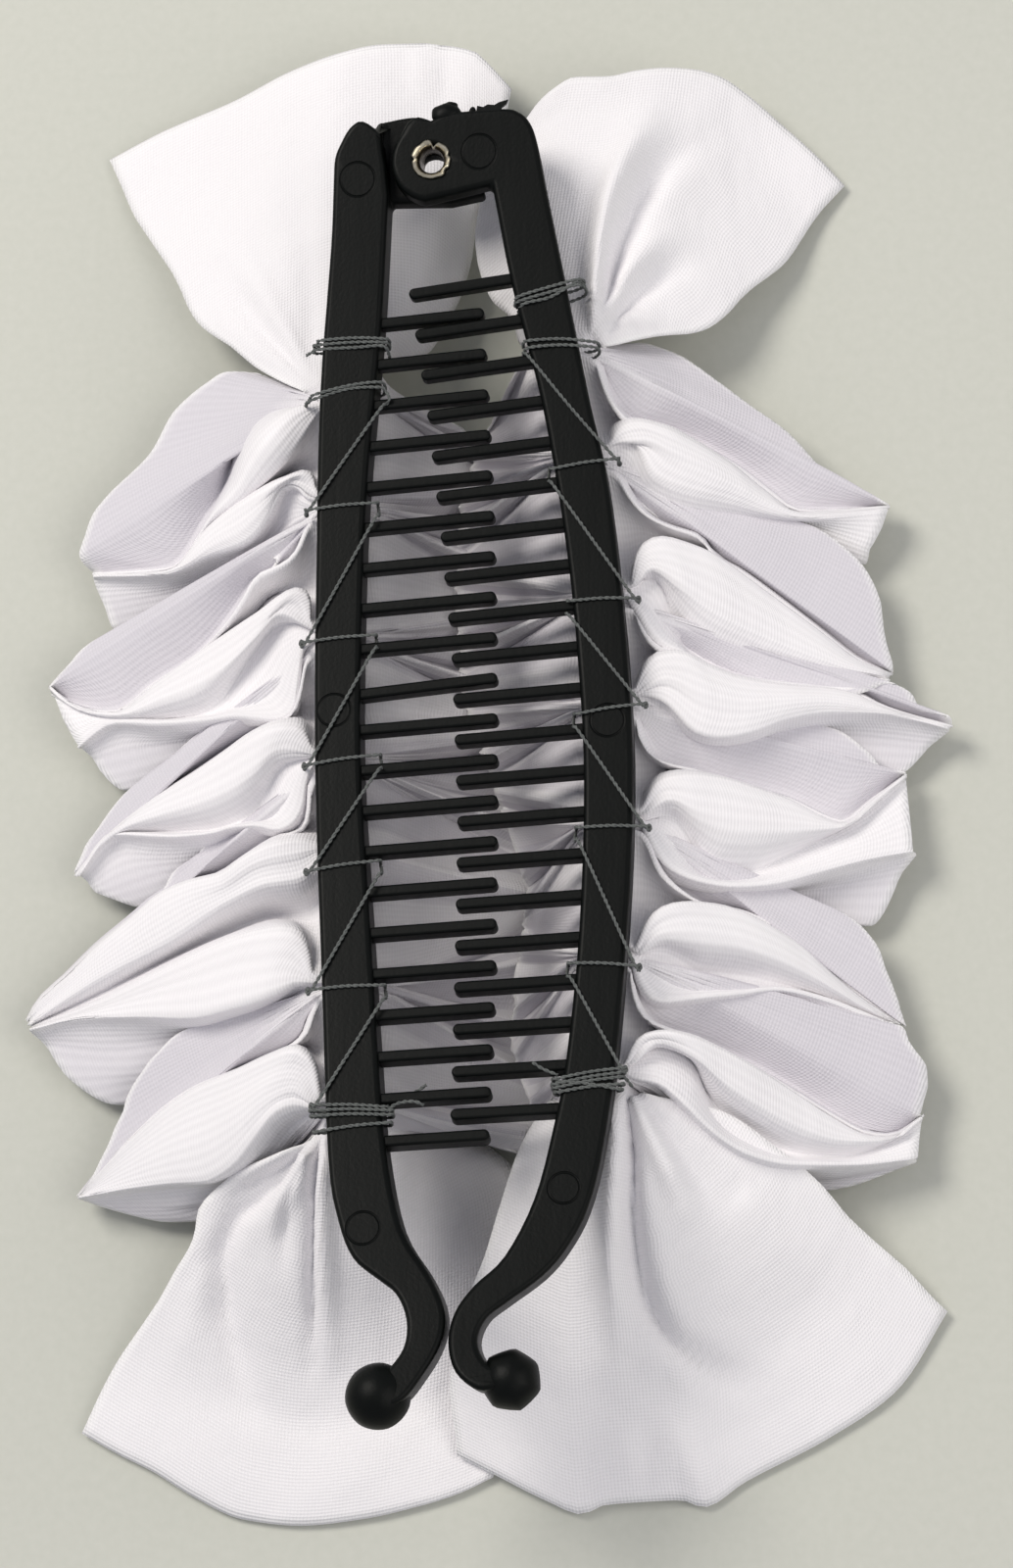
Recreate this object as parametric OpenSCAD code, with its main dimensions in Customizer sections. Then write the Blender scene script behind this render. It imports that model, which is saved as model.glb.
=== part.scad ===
// Banana hair clip: two curved comb arms on an eyelet hinge, each with a gathered cotton ruffle.
// It lies on its ruffles, head side up, with the hinge end towards +Y.

/* [Arms] */
// Radius of the bow of the arms, hollow side up
bow_r = 300; // [240:10:400]
// Depth of an arm from its face to its back
arm_depth = 5; // [4.4:0.1:5.4]
// Height of the face of the arms at its lowest place
face_z = 18; // [18:0.5:24]
// Place along Y where the arms are lowest
low_y = 20; // [10:1:30]
// Diameter of the ball at the end of the left hook
ball_left_d = 6.6; // [6:0.1:7]
// Diameter of the ball at the end of the right hook
ball_right_d = 6.4; // [6:0.1:7]

/* [Teeth] */
// Teeth on each arm
teeth = 21; // [10:1:21]
// Distance from one tooth of the right arm to the next
right_pitch = 4.8; // [4.7:0.05:4.9]
// Distance from one tooth of the left arm to the next
left_pitch = 4.79; // [4.7:0.05:4.9]
// Width of a tooth
tooth_w = 1.1; // [0.9:0.05:1.2]
// Depth of a tooth
tooth_depth = 2.6; // [2:0.1:3]
// Depth of the top of a tooth below the face of its arm
tooth_drop = 0.6; // [0.4:0.1:1]

/* [Hinge] */
// Radius of the round end of the upper lug
lug_r = 4.7; // [4.4:0.1:4.8]
// Radius of the round end of the lower tongue
tongue_r = 5.3; // [5:0.1:5.4]
// Gap between the lug and the tongue
lug_gap = 0.2; // [0.1:0.05:0.3]
// Outer diameter of the rolled rims of the eyelet
eyelet_d = 4.6; // [4.4:0.1:5]
// Diameter of the hole through the eyelet
eyelet_bore = 2.8; // [2.4:0.1:2.9]
// Radial clearance of the eyelet in its holes
eyelet_clear = 0.06; // [0.04:0.01:0.1]

/* [Ruffles] */
// Thickness of the ruffle sheet
cloth_t = 1; // [1:0.1:1.2]
// Clearance between the back of an arm and its ruffle
cloth_gap = 0.25; // [0.2:0.05:0.4]
// Height that the sheet puffs up between its root and its free edge
puff = 3; // [1:0.5:4]

/* [Hidden] */

// The outlines below are drawn with the hinge at this place, and the whole is then centred.
hinge = [-5.7, 71.9];
centre = [-1.15, 5.5];
block_h = 60;
wall_r = bow_r + arm_depth;
bow_centre_z = face_z + bow_r;
hinge_tilt = asin((hinge[1] - low_y) / bow_r);
mid_r = bow_r + arm_depth / 2;

// Edges of the arms from the hinge end to the hook, as points [x, y] joined by a smooth curve.
left_outer = [
    [-9, 77.5], [-14.6, 77.2], [-16.3, 76.2], [-16.9, 74], [-17.6, 62.5], [-19, 45], [-19.4, 22],
    [-19.1, 0], [-17.7, -24], [-16.2, -44], [-14.8, -51], [-13, -55.2], [-10.4, -57.4],
    [-8.2, -59.2], [-7, -62], [-7.2, -65], [-9, -67.6]
];
left_inner = [
    [-10.8, 66.6], [-11.8, 53], [-13.6, 33], [-14.1, 14], [-13.8, -1], [-12.4, -18], [-11.1, -33],
    [-9.9, -43.5], [-7.9, -52], [-4.8, -57], [-3.2, -60.2], [-2.9, -62.8], [-3.6, -65.4],
    [-5.2, -68.2], [-7, -70.6]
];
right_outer = [
    [-4, 77], [3, 77.3], [4.6, 76.2], [5.4, 74], [7.4, 67], [9.4, 58], [12, 44], [14.4, 32],
    [16.4, 10], [16.6, -8], [15.2, -30], [13.6, -43], [12, -50], [9.8, -54.4], [7.3, -57.4],
    [3.6, -60.2], [1.4, -62], [0.6, -64.4], [1.8, -66.8]
];
right_inner = [
    [1.4, 67.6], [3.4, 57], [6.7, 43], [9.2, 27], [10.6, 12], [11.2, -2], [10.7, -19], [9.4, -33.5],
    [8.1, -41.2], [6.2, -49], [3.2, -55.2], [0, -58.4], [-1.9, -61.2], [-2.5, -64.4], [-1.6, -67.6],
    [1.4, -69.6]
];
ball_left = [-9.9, -69.9];
ball_right = [4, -68.1];

// Teeth: tip along X and slope in degrees, each against the number of the tooth from the hinge.
right_tip_x = [[0, -8.6], [3, -6.6], [6, -5.1], [9, -3.8], [13, -3], [20, -3.1]];
right_slope = [[0, 6.6], [10, 3.8], [20, 2.6]];
right_root_x = [[0, 5.2], [3, 8.6], [6, 11], [10, 12.6], [13, 12.8], [17, 11.8], [20, 10]];
right_first_y = 56.6;
left_tip_x = [[0, 0.1], [5, 1.1], [10, 1.5], [16, 1.6], [20, 1.2]];
left_slope = [[0, 4], [10, 3.6], [20, 3]];
left_root_x = [[0, -13.4], [6, -15.4], [11, -15.4], [20, -12.6]];
left_first_y = 54.15;
bent_tooth = 9;
bent_by = 2;

// Shallow rounds left by the ejector pins: [x, y, radius].
left_marks = [[-14.3, 70, 2], [-17, 7.5, 1.9], [-12, -52, 1.8]];
right_marks = [[-0.1, 72.6, 2], [13.9, 5.4, 1.9], [9.4, -47.9, 1.7]];
mark_depth = 0.15;

// Stitches that hold a ruffle, along Y, from the hinge end to the hook.
left_pinch = [46.5, 32.7, 16.8, 2.2, -10.3, -24.3, -38.4];
right_pinch = [51, 37.5, 20.9, 8.3, -6.1, -22.2, -35.7];

// Free edge of each petal between two stitches.
// Columns: notch x, notch y, notch z, tip x, tip y, tip z, bulge of the back edge.
left_petals = [
    [-25, 49.5, 12, -50, 31, 5, 4],
    [-45, 22, 4, -53, 14.5, 4, 0.5],
    [-44, 3, 4, -49.5, -7, 5, 0],
    [-41, -12, 4, -49, -18.5, 5, 1],
    [-50, -21, 5, -54, -26.5, 6, 0],
    [-44, -34, 4, -48.5, -44.5, 6, 1],
    [-34, -47.5, 8, 0, 0, 0, 0]
];
right_petals = [
    [19, 54, 12, 46, 33, 6, 3],
    [43, 27, 4, 46.5, 14.5, 6, 1],
    [45, 12.5, 4, 52, 7, 6, 0],
    [46.5, 2, 4, 48.5, -7, 5, 0.5],
    [42, -16, 4, 46, -26.5, 6, 1],
    [45, -28, 4, 48, -38.5, 5, 1],
    [36, -45, 8, 0, 0, 0, 0]
];

// Sections across the end pieces of the sheets.
// Columns: outer x, y, z, then middle x, y, z, then inner x, y, z.
left_ear = [
    [-19, 91.5, 8, -13, 93, 7, -8, 93, 6],
    [-28, 89, 6, -13, 88.5, 9, -2, 92.5, 5.5],
    [-39, 85, 2.5, -14, 82, 10.5, 2, 87, 5],
    [-48, 81.5, 0.7, -14, 75, 12, 1, 80, 5],
    [-44, 73, 1.4, -14.2, 68, 12.5, -1, 73, 5],
    [-39, 66, 5, -14.8, 60, 12.5, -3, 67, 5.5],
    [-31, 55.5, 8, -15.6, 53, 12.5, -7, 57, 6.5]
];
right_ear = [
    [21, 89, 8, 14, 88.5, 10, 9, 86.5, 12],
    [27, 88, 6, 13.5, 84, 12, 5.5, 84, 12.6],
    [34, 83.5, 2.5, 13, 79, 13, 4, 80.5, 12.6],
    [41.5, 75, 0.7, 12.5, 73, 13.5, 1.5, 75, 12.4],
    [38, 69, 1.6, 12, 67, 13.5, -0.5, 69, 12],
    [34, 64.5, 4.5, 12, 62, 13, -2, 64.5, 11.5],
    [27, 57.5, 8, 12, 56.5, 13, 2, 56, 11]
];
left_flap = [
    [-33, -49.5, 9, -16, -44, 16, -7.6, -41, 9],
    [-34.5, -53, 5, -15.6, -50, 13, -5, -46, 6],
    [-41, -61, 2, -16, -57, 9.5, -1, -51, 4],
    [-48, -71, 0.6, -17, -64, 5, 1, -58, 2],
    [-44, -74.5, 0.6, -17.5, -70, 2.5, 1, -66, 1.2],
    [-33, -80, 0.6, -18, -76, 1, 0, -74, 0.6],
    [-22, -82, 0.5, -17, -81.8, 0.5, -10, -80.5, 0.5]
];
right_flap = [
    [33, -44, 10, 13, -42, 18, 4.6, -42, 14],
    [36.5, -47, 8, 12, -48, 16.5, 1.8, -47, 13],
    [42, -52, 5, 11.6, -54, 13.5, 0, -52.5, 11],
    [50, -60, 0.8, 11.4, -61, 10, -3, -60, 8.5],
    [46, -65, 0.7, 11, -67.5, 6.5, -5, -67.5, 6],
    [38, -73, 0.6, 11, -74, 3, -5, -72, 4],
    [23, -80, 0.5, 12, -80, 0.6, 1, -78, 2]
];

// Inner edge of a ruffle under the teeth: distance short of the middle line, its wave and its height.
inner_short = 1.6;
inner_wave = 1.3;
inner_z = 4;

// Cuts across the sheet and its steps along each petal and each end piece.
outer_cuts = [0.14, 0.32, 0.52, 0.76, 1];
inner_cuts = [1, 0.66, 0.33];
petal_steps = 9;
end_steps = 2;
// Height of the free edge along a petal, above its low back: back, fold and lower leaf.
fold_table = [[0, 0], [0.25, 0.6], [0.45, 1.5], [0.62, 5], [0.8, 5.5], [0.92, 4], [1, 0]];

// Height of the face and of the back of the arms at a place along Y.
function face_at(y) = bow_centre_z - sqrt(bow_r * bow_r - (y - low_y) * (y - low_y));
function back_at(y) = bow_centre_z - sqrt(wall_r * wall_r - (y - low_y) * (y - low_y));

// A smooth curve through points, each stretch cut in n steps.
function curve_at(a, b, c, d, t) =
    0.5 * (2 * b + (c - a) * t + (2 * a - 5 * b + 4 * c - d) * t * t + (3 * b - a - 3 * c + d) * t * t * t);
function smooth(p, n) = [
    for (i = [0:len(p) - 2], k = [0:n - 1])
        curve_at(p[max(i - 1, 0)], p[i], p[i + 1], p[min(i + 2, len(p) - 1)], k / n),
    p[len(p) - 1]
];
function reversed(p) = [for (i = [len(p) - 1:-1:0]) p[i]];
function mix(a, b, t) = a + (b - a) * t;
function part_of(row, k) = [row[k], row[k + 1], row[k + 2]];

// Where an edge curve [x, y] crosses a place along Y.
function edge_x(edge, y) = lookup(-y, [for (p = edge) [-p[1], p[0]]]);

// One tooth: a blade with a round tip that follows the bow.
module tooth(tip_x, tip_y, root_x, slope) {
    root_y = tip_y + (root_x - tip_x) * tan(slope);
    tilt = -asin((low_y - tip_y) / bow_r);
    translate([root_x, root_y, face_at(root_y) - tooth_drop])
        rotate([tilt, 0, 0])
            rotate([0, 0, slope])
                translate([0, 0, -tooth_depth])
                    linear_extrude(height = tooth_depth) {
                        reach = (tip_x - root_x) / cos(slope) - sign(tip_x - root_x) * tooth_w / 2;
                        translate([min(0, reach), -tooth_w / 2]) square([abs(reach), tooth_w]);
                        translate([reach, 0]) circle(d = tooth_w, $fn = 24);
                    }
}

// The curved slab between two radii of the bow, over the whole clip.
module bow_slab(r_in, r_out) {
    translate([-30, low_y, bow_centre_z])
        rotate([0, 90, 0])
            difference() {
                cylinder(r = r_out, h = block_h, $fn = 720);
                translate([0, 0, -1]) cylinder(r = r_in, h = block_h + 2, $fn = 720);
            }
}

// An arm's outline as a block that the bow slab cuts.
module arm_block(outer, inner) {
    linear_extrude(height = block_h)
        polygon(concat(smooth(outer, 4), reversed(smooth(inner, 4))));
}

module at_hinge() {
    translate([hinge[0], hinge[1], face_at(hinge[1])])
        rotate([hinge_tilt, 0, 0])
            children();
}

// A ball at the end of a hook, turned so that its seam is on the side away from the hook.
module hook_ball(place, d, turn) {
    translate([place[0], place[1], (face_at(place[1]) + back_at(place[1])) / 2])
        rotate([0, 0, turn])
            sphere(d = d, $fn = 48);
}

module ejector_marks(marks) {
    for (m = marks)
        translate([m[0], m[1], face_at(m[1])])
            rotate([asin((m[1] - low_y) / bow_r), 0, 0])
                translate([0, 0, -mark_depth])
                    cylinder(r = m[2], h = 3, $fn = 48);
}

module eyelet_hole() {
    at_hinge()
        translate([0, 0, -arm_depth - 3])
            cylinder(r = eyelet_bore / 2 + 0.35 + eyelet_clear, h = arm_depth + 6, $fn = 64);
}

// The left arm with its teeth, its hook and the lower tongue of the hinge.
module arm_left_shape() {
    difference() {
        union() {
            intersection() {
                union() {
                    arm_block(left_outer, left_inner);
                    translate([hinge[0], hinge[1], 0]) cylinder(r = tongue_r, h = block_h, $fn = 96);
                }
                bow_slab(bow_r, wall_r);
            }
            for (i = [0:teeth - 1])
                tooth(lookup(i, left_tip_x), left_first_y - i * left_pitch, lookup(i, left_root_x),
                    lookup(i, left_slope) + (i == bent_tooth ? bent_by : 0));
            hook_ball(ball_left, ball_left_d, 180);
        }
        // Room for the lug above the tongue
        intersection() {
            translate([hinge[0] - lug_r - 0.3, hinge[1] - 9, 0]) cube([20, 18, block_h]);
            bow_slab(bow_r - 6, mid_r + lug_gap / 2);
        }
        eyelet_hole();
        ejector_marks(left_marks);
    }
}

// The right arm with its teeth, its hook and the upper lug of the hinge.
module arm_right_shape() {
    difference() {
        union() {
            intersection() {
                union() {
                    arm_block(right_outer, right_inner);
                    translate([hinge[0], hinge[1], 0]) cylinder(r = lug_r, h = block_h, $fn = 96);
                    linear_extrude(height = block_h)
                        polygon([[hinge[0], hinge[1] + lug_r], [4, 77], [1.4, 67.6],
                            [hinge[0] + 1, hinge[1] - lug_r + 0.1]]);
                }
                bow_slab(bow_r, wall_r);
            }
            for (i = [0:teeth - 1])
                tooth(lookup(i, right_tip_x), right_first_y - i * right_pitch, lookup(i, right_root_x),
                    lookup(i, right_slope));
            hook_ball(ball_right, ball_right_d, 0);
        }
        // Room for the tongue under the lug
        intersection() {
            translate([hinge[0], hinge[1], 0]) cylinder(r = tongue_r + 0.7, h = block_h, $fn = 96);
            bow_slab(mid_r - lug_gap / 2, wall_r + 6);
        }
        eyelet_hole();
        ejector_marks(right_marks);
    }
}

// The eyelet: a thin tube with a rolled rim at each end.
module eyelet_shape() {
    tube_r = eyelet_bore / 2;
    rim_r = eyelet_d / 2;
    at_hinge()
        rotate_extrude($fn = 96)
            polygon([
                [tube_r, -arm_depth - 0.5], [rim_r - 0.2, -arm_depth - 0.5], [rim_r, -arm_depth - 0.3],
                [rim_r, -arm_depth - 0.05], [tube_r + 0.35, -arm_depth - 0.05], [tube_r + 0.35, 0.05],
                [rim_r, 0.05], [rim_r, 0.3], [rim_r - 0.2, 0.5], [tube_r, 0.5]
            ]);
}

// Root of a ruffle under its arm: its outer and inner points at a place along Y.
function root_point(edge, y, inwards) =
    [edge_x(edge, y) + inwards, y, back_at(y) - cloth_gap - cloth_t / 2];

// Free edge of petal k at u from its notch to the next one.
function petal_edge(petals, k, u, side) =
    let (row = petals[k],
        next = petals[k + 1],
        start = part_of(row, 0),
        tip = part_of(row, 3),
        turn = 0.62,
        along = u < turn ? u / turn : (u - turn) / (1 - turn),
        base = u < turn ? mix(start, tip, along) : mix(tip, part_of(next, 0), along),
        bulge = u < turn ? row[6] * sin(180 * along) : 0)
    base + [side * bulge * 0.7, bulge * 0.7, lookup(u, fold_table)];

// Inner edge under the teeth, which hangs short of the middle line between the two ruffles.
function middle_x(y) = lookup(-y, [[-75, -1], [-40, -1.8], [0, 0], [40, -1.2], [80, -2]]);
function inner_edge(y, u, side) =
    [middle_x(y) + side * inner_short, y - 1.5, inner_z + inner_wave * sin(360 * u)];

// One row of points across the sheet, from the inner free edge to the outer one.
function across(outer, root_out, root_in, inner, lift) = [
    for (c = inner_cuts) mix(root_in, inner, c) + [0, 0, lift * 0.35 * sin(180 * c)],
    root_in,
    root_out,
    for (c = outer_cuts) mix(root_out, outer, c) + [0, 0, lift * sin(180 * min(c * 1.1, 1))]
];

// Rows over one petal, where the roots crowd towards the stitch that holds its leaf.
function petal_rows(petals, pinch, outer_line, inner_line, k, side) = [
    for (j = [0:petal_steps - 1])
        let (u = j / petal_steps,
            y = mix(pinch[k], pinch[k + 1], 1 - pow(1 - u, 1.35)),
            yi = mix(pinch[k], pinch[k + 1], u))
        across(petal_edge(petals, k, u, side), root_point(outer_line, y, 0.2 * side),
            root_point(inner_line, yi, 0), inner_edge(yi, u, side), puff)
];

// Rows over an end piece, from its sections of outer, middle and inner points.
function end_rows(sections, side, spread) = [
    for (row = sections)
        let (mid = part_of(row, 3))
        across(part_of(row, 0), mid + [side * spread, 0, 0], mid - [side * spread, 0, 0],
            part_of(row, 6), puff * 0.4)
];

function ruffle_rows(ear, petals, flap, pinch, outer_line, inner_line, side) =
    let (last = len(pinch) - 1,
        y_end = pinch[last],
        ear_part = smooth(ear, end_steps),
        flap_part = smooth(flap, end_steps))
    concat(
        end_rows(ear_part, side, 2.2),
        [for (k = [0:last - 1], r = petal_rows(petals, pinch, outer_line, inner_line, k, side)) r],
        [across(part_of(petals[last], 0), root_point(outer_line, y_end, 0.2 * side),
            root_point(inner_line, y_end, 0), inner_edge(y_end, 0, side), puff * 0.6)],
        end_rows(flap_part, side, 2.2)
    );

// Unit normal of the sheet at row i, point j.
function normal_at(g, i, j) =
    let (a = g[min(i + 1, len(g) - 1)][j] - g[max(i - 1, 0)][j],
        b = g[i][min(j + 1, len(g[0]) - 1)] - g[i][max(j - 1, 0)],
        n = cross(a, b))
    n / norm(n);

// A closed sheet of even thickness over a grid of points.
module sheet_solid(g, t, flip) {
    rows = len(g);
    cols = len(g[0]);
    count = rows * cols;
    half = (flip ? -1 : 1) * t / 2;
    upper = [for (i = [0:rows - 1], j = [0:cols - 1]) g[i][j] + normal_at(g, i, j) * half];
    lower = [for (i = [0:rows - 1], j = [0:cols - 1]) g[i][j] - normal_at(g, i, j) * half];
    tops = [for (i = [0:rows - 2], j = [0:cols - 2])
        let (a = i * cols + j) each [[a, a + 1, a + cols + 1], [a, a + cols + 1, a + cols]]];
    ring = concat([for (j = [0:cols - 1]) j], [for (i = [1:rows - 1]) i * cols + cols - 1],
        [for (j = [cols - 2:-1:0]) (rows - 1) * cols + j], [for (i = [rows - 2:-1:1]) i * cols]);
    rims = [for (k = [0:len(ring) - 1])
        let (a = ring[k], b = ring[(k + 1) % len(ring)])
        each [[b, a, a + count], [b, a + count, b + count]]];
    bottoms = [for (f = tops) [f[0] + count, f[2] + count, f[1] + count]];
    all = concat(tops, bottoms, rims);
    polyhedron(points = concat(upper, lower), faces = flip ? [for (f = all) [f[0], f[2], f[1]]] : all);
}

module centred() {
    translate([-centre[0], -centre[1], 0]) children();
}

module arm_left() {
    color("#22262a") centred() arm_left_shape();
}

module arm_right() {
    color("#22262a") centred() arm_right_shape();
}

module eyelet() {
    color("#c9b98a") centred() eyelet_shape();
}

module ruffle_left() {
    g = ruffle_rows(left_ear, left_petals, left_flap, left_pinch, left_outer, left_inner, -1);
    color("#e9e6ee") centred() sheet_solid(g, cloth_t, true);
}

module ruffle_right() {
    g = ruffle_rows(right_ear, right_petals, right_flap, right_pinch, right_outer, right_inner, 1);
    color("#e9e6ee") centred() sheet_solid(g, cloth_t, false);
}

arm_left();
arm_right();
eyelet();
ruffle_left();
ruffle_right();
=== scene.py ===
import math

import bpy
import numpy as np
from mathutils import Matrix, Vector


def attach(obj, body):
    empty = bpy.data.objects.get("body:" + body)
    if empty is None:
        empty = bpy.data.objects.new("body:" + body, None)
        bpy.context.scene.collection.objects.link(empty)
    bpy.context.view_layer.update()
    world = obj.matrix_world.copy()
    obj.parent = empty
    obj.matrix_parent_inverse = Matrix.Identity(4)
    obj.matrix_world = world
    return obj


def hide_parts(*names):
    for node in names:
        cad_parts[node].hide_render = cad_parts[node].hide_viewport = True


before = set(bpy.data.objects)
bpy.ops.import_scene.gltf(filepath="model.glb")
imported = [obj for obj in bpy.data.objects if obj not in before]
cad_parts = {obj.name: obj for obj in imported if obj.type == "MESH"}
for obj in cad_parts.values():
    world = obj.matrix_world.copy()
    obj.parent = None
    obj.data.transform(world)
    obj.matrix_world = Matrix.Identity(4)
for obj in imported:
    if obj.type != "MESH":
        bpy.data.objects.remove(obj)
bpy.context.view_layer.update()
scene = bpy.context.scene

# Camera. The photograph looks down on the clip from about 410 mm above it, leaning a little to the
# right and to the hook end. Everything below is in millimetres until a mesh is made.
MM = 0.001
AIM = Vector((1.15, -5.5, 12))
VIEW_DISTANCE = 410
LEAN_RIGHT, LEAN_TO_HOOKS = 6, 14
lean = Vector((math.sin(math.radians(LEAN_RIGHT)), -math.sin(math.radians(LEAN_TO_HOOKS)), 0))
lean.z = math.sqrt(1 - lean.x ** 2 - lean.y ** 2)
view_right = Vector((0, 1, 0)).cross(lean).normalized()
view_up = lean.cross(view_right)
eye = AIM + lean * VIEW_DISTANCE


def seen(across, up, height):
    """The point at a height that shows this far to the right of the aim and above it."""
    ray = view_right * across + view_up * up - lean * VIEW_DISTANCE
    return eye + ray * ((height - eye.z) / ray.z)


camera = bpy.data.objects.new("camera", bpy.data.cameras.new("camera"))
scene.collection.objects.link(camera)
axes = Matrix((view_right, view_up, lean)).transposed().to_4x4()
camera.matrix_world = Matrix.Translation(eye * MM) @ axes
camera.data.lens = 83
camera.data.sensor_width = 36
camera.data.shift_x = 0.0106
camera.data.clip_start = 0.01
scene.camera = camera


# Floor and light. The clip lies on a pale grey board, under a window at its hinge end and to the
# left. A pale wall on its right and the rest of the room give soft fill.
def shade(hex_colour):
    """An sRGB hex colour as linear numbers with alpha."""
    parts = [int(hex_colour[i:i + 2], 16) / 255 for i in (1, 3, 5)]
    return [p / 12.92 if p <= 0.04045 else ((p + 0.055) / 1.055) ** 2.4 for p in parts] + [1]


def feed(tree, node, inputs):
    """Links or sets a node's inputs."""
    for socket, value in inputs.items():
        if isinstance(value, bpy.types.NodeSocket):
            tree.links.new(value, node.inputs[socket])
        else:
            node.inputs[socket].default_value = value


def add_node(tree, kind, inputs=(), **settings):
    """Adds a node with its settings, and links or sets its inputs."""
    node = tree.nodes.new(kind)
    for name, value in settings.items():
        setattr(node, name, value)
    feed(tree, node, dict(inputs))
    return node


def new_material(name):
    """A material with its tree and its surface shader."""
    material = bpy.data.materials.new(name)
    material.use_nodes = True
    return material, material.node_tree, material.node_tree.nodes["Principled BSDF"]


def start_shape(add, **settings):
    """A new primitive, with nothing else selected."""
    bpy.ops.object.select_all(action="DESELECT")
    add(**settings)
    return bpy.context.object


board, tree, surface = new_material("painted_board")
# Board with a coat of matt pale grey paint, which has a very fine grain.
where = add_node(tree, "ShaderNodeTexCoord").outputs["Object"]
grain = add_node(tree, "ShaderNodeTexNoise", {"Vector": where, "Scale": 900, "Detail": 3})
tone = add_node(tree, "ShaderNodeMix", {"Factor": grain.outputs["Fac"], "A": shade("#c3c5bb"),
                                        "B": shade("#cccdc4")}, data_type="RGBA")
feed(tree, surface, {"Base Color": tone.outputs["Result"], "Roughness": 0.85})
FLOOR_SIDE, FLOOR_Z = 3000, -0.2
floor = start_shape(bpy.ops.mesh.primitive_plane_add, size=FLOOR_SIDE * MM,
                    location=(0, 0, FLOOR_Z * MM))
floor.name = "floor"
floor.data.materials.append(board)

world = bpy.data.worlds.new("room")
world.use_nodes = True
feed(world.node_tree, world.node_tree.nodes["Background"],
     {"Color": shade("#f4f5ff"), "Strength": 0.44})
scene.world = world
scene.view_settings.view_transform = "Standard"
# Each light: its name, width in metres, watts and place.
for name, size, power, place in (("window", 0.34, 3.6, Vector((-0.36, 0.26, 0.6))),
                                 ("pale_wall", 0.5, 1.2, Vector((0.42, -0.12, 0.42)))):
    lamp = bpy.data.lights.new(name, "AREA")
    lamp.shape = "DISK"
    lamp.size = size
    lamp.energy = power
    lamp.color = shade("#fffaf2")[:3]
    lamp_object = bpy.data.objects.new(name, lamp)
    scene.collection.objects.link(lamp_object)
    lamp_object.location = place
    lamp_object.rotation_euler = (-place).to_track_quat("-Z", "Y").to_euler()

# The two arms. Each is one moulding of black plastic: a flat bar with rounded edges, bowed to the
# head, that ends in a hook with a ball. The left one has the lower tongue of the hinge, cut from
# above, and the right one the upper lug, hollowed from below, so that they lie on each other.
BOW_R = 300
ARM_DEPTH = 5
ARM_ROUND = 0.65
FACE_Z = 18
LOW_Y = 14.5
HINGE = (-4.55, 66.4)
LUG_R = 4.7
TONGUE_R = 5.5
TONGUE_CUT = 2.6
LUG_CUT = 2.4
HOLLOW_R = 7.7
CAP_RISE, CAP_SLOPE, TONGUE_RISE = 0.5, 2.4, 0.9
EYELET_HOLE_R = 1.8
MARK_LINE_R = 0.17
HOLE_CUT = 12
BOW_STEP = 2.5
SAME_PLACE = 0.000001
SHIFT = (1.15, -5.5)
# Outlines from the hinge end to the hook, before the shift that centres the clip's box.
left_outer = [
    (-7.4, 77.3), (-9.2, 77.2), (-11.7, 76.8), (-14.2, 76.4), (-15.5, 75.6), (-16.3, 74.4),
    (-17, 72.7), (-17.2, 70), (-17.6, 62.5), (-19, 45), (-19.4, 22), (-19.1, 0), (-17.7, -24),
    (-16.2, -44), (-14.8, -51), (-13, -55.2), (-10.4, -57.4), (-8.2, -59.2), (-7, -62),
    (-7.2, -65), (-9, -67.6), (-10.6, -69)]
left_inner = [
    (-10.8, 68.2), (-11.8, 53), (-13.6, 33), (-14.1, 14), (-13.8, -1), (-12.4, -18), (-11.1, -33),
    (-9.9, -43.5), (-7.9, -52), (-4.8, -57), (-3.2, -60.2), (-2.9, -62.8), (-3.6, -65.4),
    (-5.2, -68.2), (-7, -70.5), (-9.3, -71.4)]
right_outer = [
    (-4, 77.4), (2.6, 77.6), (4.6, 77.1), (5.8, 75.9), (6.6, 73.6), (7.5, 68.5), (9.4, 58),
    (12, 44), (14.4, 32), (16.4, 10), (16.6, -8), (15.2, -30), (13.6, -43), (12, -50),
    (9.8, -54.4), (7.3, -57.4), (3.6, -60.2), (1.4, -62), (0.6, -64.4), (1.6, -66.6), (3.1, -67.2)]
right_inner = [
    (1.3, 68.8), (3.4, 57), (6.7, 43), (9.2, 27), (10.6, 12), (11.2, -2), (10.7, -19),
    (9.4, -33.5), (8.1, -41.2), (6.2, -49), (3.2, -55.2), (0, -58.4), (-1.9, -61.2),
    (-2.5, -64.4), (-1.6, -67.6), (0.8, -69.5), (3, -69.3)]


def centred(points):
    """Points of an outline, moved to where the clip's box is centred."""
    return [(x + SHIFT[0], y + SHIFT[1]) for x, y in points]


left_outer, left_inner, right_outer, right_inner = map(
    centred, (left_outer, left_inner, right_outer, right_inner))


def bow(y, depth=0.0):
    """Height of an arm at a place along Y, this deep below its face."""
    radius = BOW_R + depth
    return FACE_Z + BOW_R - math.sqrt(radius * radius - (y - LOW_Y) ** 2)


def smooth_line(points, steps):
    """A smooth curve through points, each stretch cut in steps."""
    p = np.array([points[0], *points, points[-1]], float)
    out = []
    for a, b, c, d in zip(p, p[1:], p[2:], p[3:]):
        for t in np.arange(steps) / steps:
            out.append(0.5 * (2 * b + (c - a) * t + (2 * a - 5 * b + 4 * c - d) * t ** 2
                              + (3 * b - a - 3 * c + d) * t ** 3))
    return np.array(out + [p[-1]])


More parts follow.
